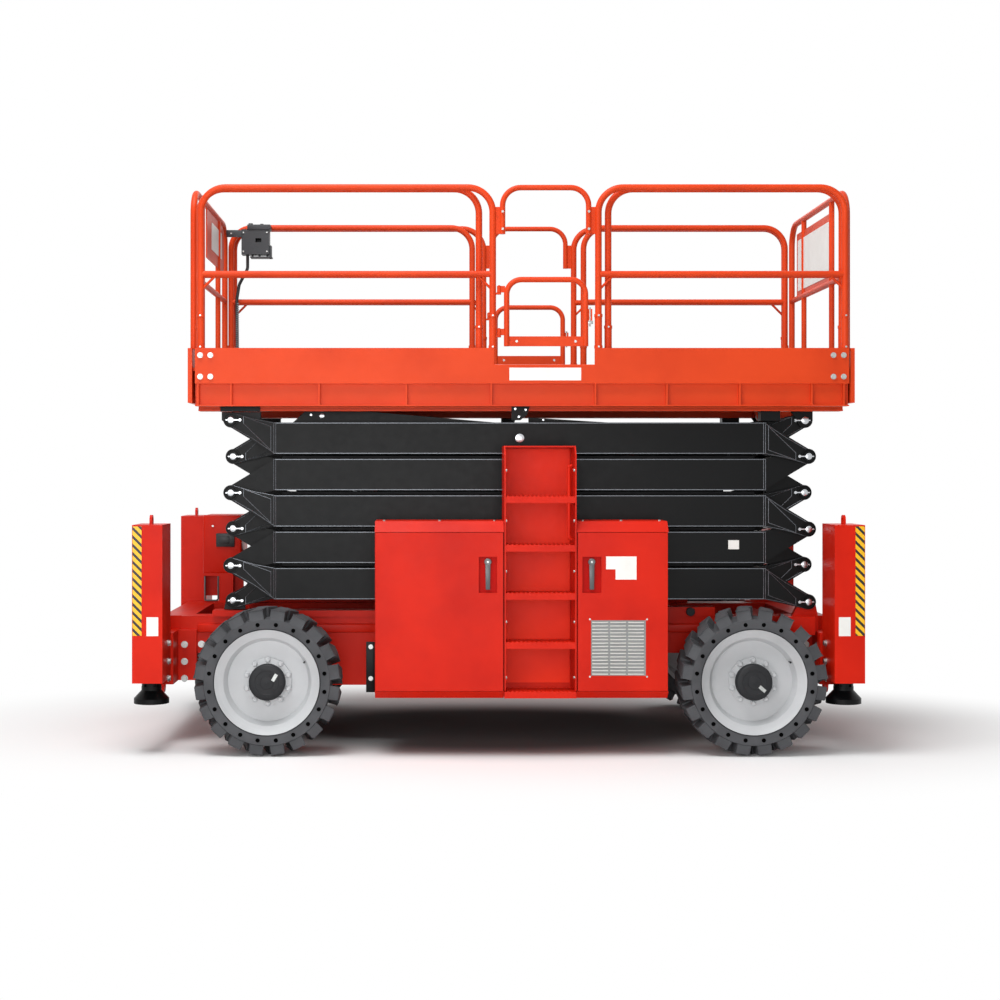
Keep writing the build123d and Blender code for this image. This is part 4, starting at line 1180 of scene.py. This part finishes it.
class LIFT_OT_rail_trim(LiftOperator, bpy.types.Operator):
    """Folding collars with pins, corner braces, hoop pins and gate latches"""
    bl_idname = "lift.rail_trim"
    bl_label = "Rail trim"

    def build(self):
        braces = new_mesh()
        for body, y, heights, xs in (("platform", RAIL_Y, (2450, 2640), (-1799, -25, 617, 2116)),
                                     ("left_rollout", NESTED_Y, (2440, 2575), (-1815, -107)),
                                     ("right_rollout", NESTED_Y, (2440, 2575), (682, 2110))):
            sleeves, pins = new_mesh(), new_mesh()
            for side in SIDES.values():
                for x in xs:
                    self.clamp(sleeves, pins, (x, side * y), heights, side)
                if body == "platform":
                    for x, z in ((35, 3165), (35, 3270), (558, 3165), (558, 3270)):
                        add_bolt(pins, (x, side * (RAIL_Y + 17), z), (0, side, 0), 15, False)
            name = "rail" if body == "platform" else body
            finish_piece(f"{name}_clamps", sleeves, body, "platform")
            finish_piece(f"{name}_pins", pins, body, "zinc")
        for y in (NEAR * RAIL_Y, FAR * RAIL_Y):
            for x, toward in ((-1799, 1), (-25, -1), (617, 1), (2116, -1)):
                add_rod(braces, (x, y, 2793), (x + toward * 100, y, 2893), 8, 10)
        finish_piece("rail_braces", braces, "platform", "platform")
        for side_name, side in SIDES.items():
            self.latch(f"gate_{side_name}", side)

    def latch(self, gate, side):
        mesh = new_mesh()
        y = side * RAIL_Y
        add_box(mesh, (541, y - 7, 2590), (585, y + 7, 2610), 2)
        add_rod(mesh, (566, y, 2575), (566, y, 2690), 6, 12)
        for x in (120, 478):
            add_rod(mesh, (x, y - side * 5.5, 2484), (x, y + side * 6.5, 2484), 8, 14)
        finish_piece(gate.replace("gate", "gate_latch"), mesh, gate, "zinc")

    def clamp(self, sleeves, pins, place, height, side):
        """Two thin collars on a post, with the pin that lets it fold between them."""
        x, y = place
        radius = sizes().sleeve_radius
        for z in height:
            add_lathe(sleeves, ((20.8, -9), (radius, -9), (radius, 9), (20.8, 9)), (x, y, z), (0, 0, 1), 24)
            add_rod(pins, (x, y + side * 20, z), (x, y + side * (radius + 5), z), 6, 12)
        reach = height[1] - height[0]
        add_lathe(sleeves, ((20.6, 0), (22.6, 0), (22.6, reach), (20.6, reach)), (x, y, height[0]),
                  (0, 0, 1), 24)


class LIFT_OT_control_station(LiftOperator, bpy.types.Operator):
    """Control station with its knobs and screws, the blank rail panels and the cable's ribbed sleeve"""
    bl_idname = "lift.control_station"
    bl_label = "Control station"

    def build(self):
        self.station()
        screws, knobs, ribs = new_mesh(), new_mesh(), new_mesh()
        for x, y, z in ((-1715, 708, 3235), (-1550, 708, 3235), (-1715, 708, 3368), (-1550, 708, 3368),
                        (-1800, 700, 3360)):
            add_bolt(screws, (x, y, z), (0, -1, 0), 11, False)
        add_rod(knobs, (-1668, 745, 3424), (-1668, 745, 3437), 19, 20, 15)
        add_rod(knobs, (-1590, 750, 3424), (-1590, 750, 3434), 12, 20)
        for z in range(2345, 2880, 14):
            add_lathe(ribs, ((10.5, -3), (13, -2), (13, 2), (10.5, 3)), (-1766, 782, z), (0, 0, 1), 14)
        finish_piece("control_screws", screws, "left_rollout", "zinc")
        finish_piece("control_knobs", knobs, "left_rollout", "black_plastic")
        finish_piece("cable_ribs", ribs, "left_rollout", "grey_hose")
        for name, body, xs, ys, zs in (
                ("left_panel_label", "left_rollout", (-1850.5, -1848), (20, 560), (3160, 3340)),
                ("right_panel_sheet", "right_rollout", (2143, 2146), (-400, 565), (2940, 3290))):
            panel = new_mesh()
            add_block(panel, xs, ys, zs, 0.5, 1)
            finish_piece(name, panel, body, "label")

    def station(self):
        """Sheet body round its hand opening, lid, arm, tray and latch, standing in for the plain CAD box."""
        mesh = new_mesh()
        # sheets of the body round the opening
        for xs, zs in (((-1729, -1631), (3215, 3392)), ((-1589, -1536), (3215, 3392)),
                       ((-1631, -1589), (3215, 3300)), ((-1631, -1589), (3328, 3392))):
            add_block(mesh, xs, (708, 800), zs)
        # lid, its hook down the back, arm to the corner post, tray, latch
        for xs, ys, zs, bevel in (((-1688, -1526), (700, 811.5), (3388, 3424), 3),
                                  ((-1688, -1536), (798, 811), (3240, 3390), 2),
                                  ((-1834, -1725), (700, 708), (3335, 3385), 1.5),
                                  ((-1668, -1515), (704, 790), (3191, 3201), 2),
                                  ((-1536, -1520), (720, 780), (3191, 3280), 3)):
            add_block(mesh, xs, ys, zs, bevel)
        for x in (-1655, -1605, -1550):
            add_rod(mesh, (x, 745, 3200), (x, 745, 3216), 8, 14)
        add_rod(mesh, (-1668, 745, 3400), (-1668, 745, 3436), 14, 20)
        piece = finish_piece("control_station", mesh, "left_rollout", "plastic")
        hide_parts("control_box")


# ------------------------------------------------------------------ panel, register, main
OPERATORS = (LIFT_OT_stage, LIFT_OT_finishes, LIFT_OT_tyres, LIFT_OT_hubs, LIFT_OT_outrigger_trim,
             LIFT_OT_chassis_trim, LIFT_OT_cabinet_trim, LIFT_OT_ladder_trim, LIFT_OT_pin_hardware,
             LIFT_OT_slide_shoes, LIFT_OT_arm_edges, LIFT_OT_arm_welds, LIFT_OT_deck_trim, LIFT_OT_rail_trim,
             LIFT_OT_control_station)


class LIFT_PT_panel(bpy.types.Panel):
    """Lists the settings and operators of the lift"""
    bl_label = "Scissor lift"
    bl_idname = "LIFT_PT_panel"
    bl_space_type = "VIEW_3D"
    bl_region_type = "UI"
    bl_category = "Lift"

    def draw(self, context):
        for group in (context.scene.lift_look, context.scene.lift_sizes):
            for name in group.__annotations__:
                self.layout.prop(group, name)
        for operator in OPERATORS:
            self.layout.operator(operator.bl_idname)


CLASSES = (LiftLook, LiftSizes, *OPERATORS, LIFT_PT_panel)


def register():
    for cls in CLASSES:
        bpy.utils.register_class(cls)
    bpy.types.Scene.lift_look = bpy.props.PointerProperty(type=LiftLook)
    bpy.types.Scene.lift_sizes = bpy.props.PointerProperty(type=LiftSizes)


def unregister():
    del bpy.types.Scene.lift_sizes
    del bpy.types.Scene.lift_look
    for cls in reversed(CLASSES):
        bpy.utils.unregister_class(cls)


def main():
    register()
    for operator in OPERATORS:
        group, name = operator.bl_idname.split(".")
        getattr(getattr(bpy.ops, group), name)()


if __name__ == "__main__":
    main()
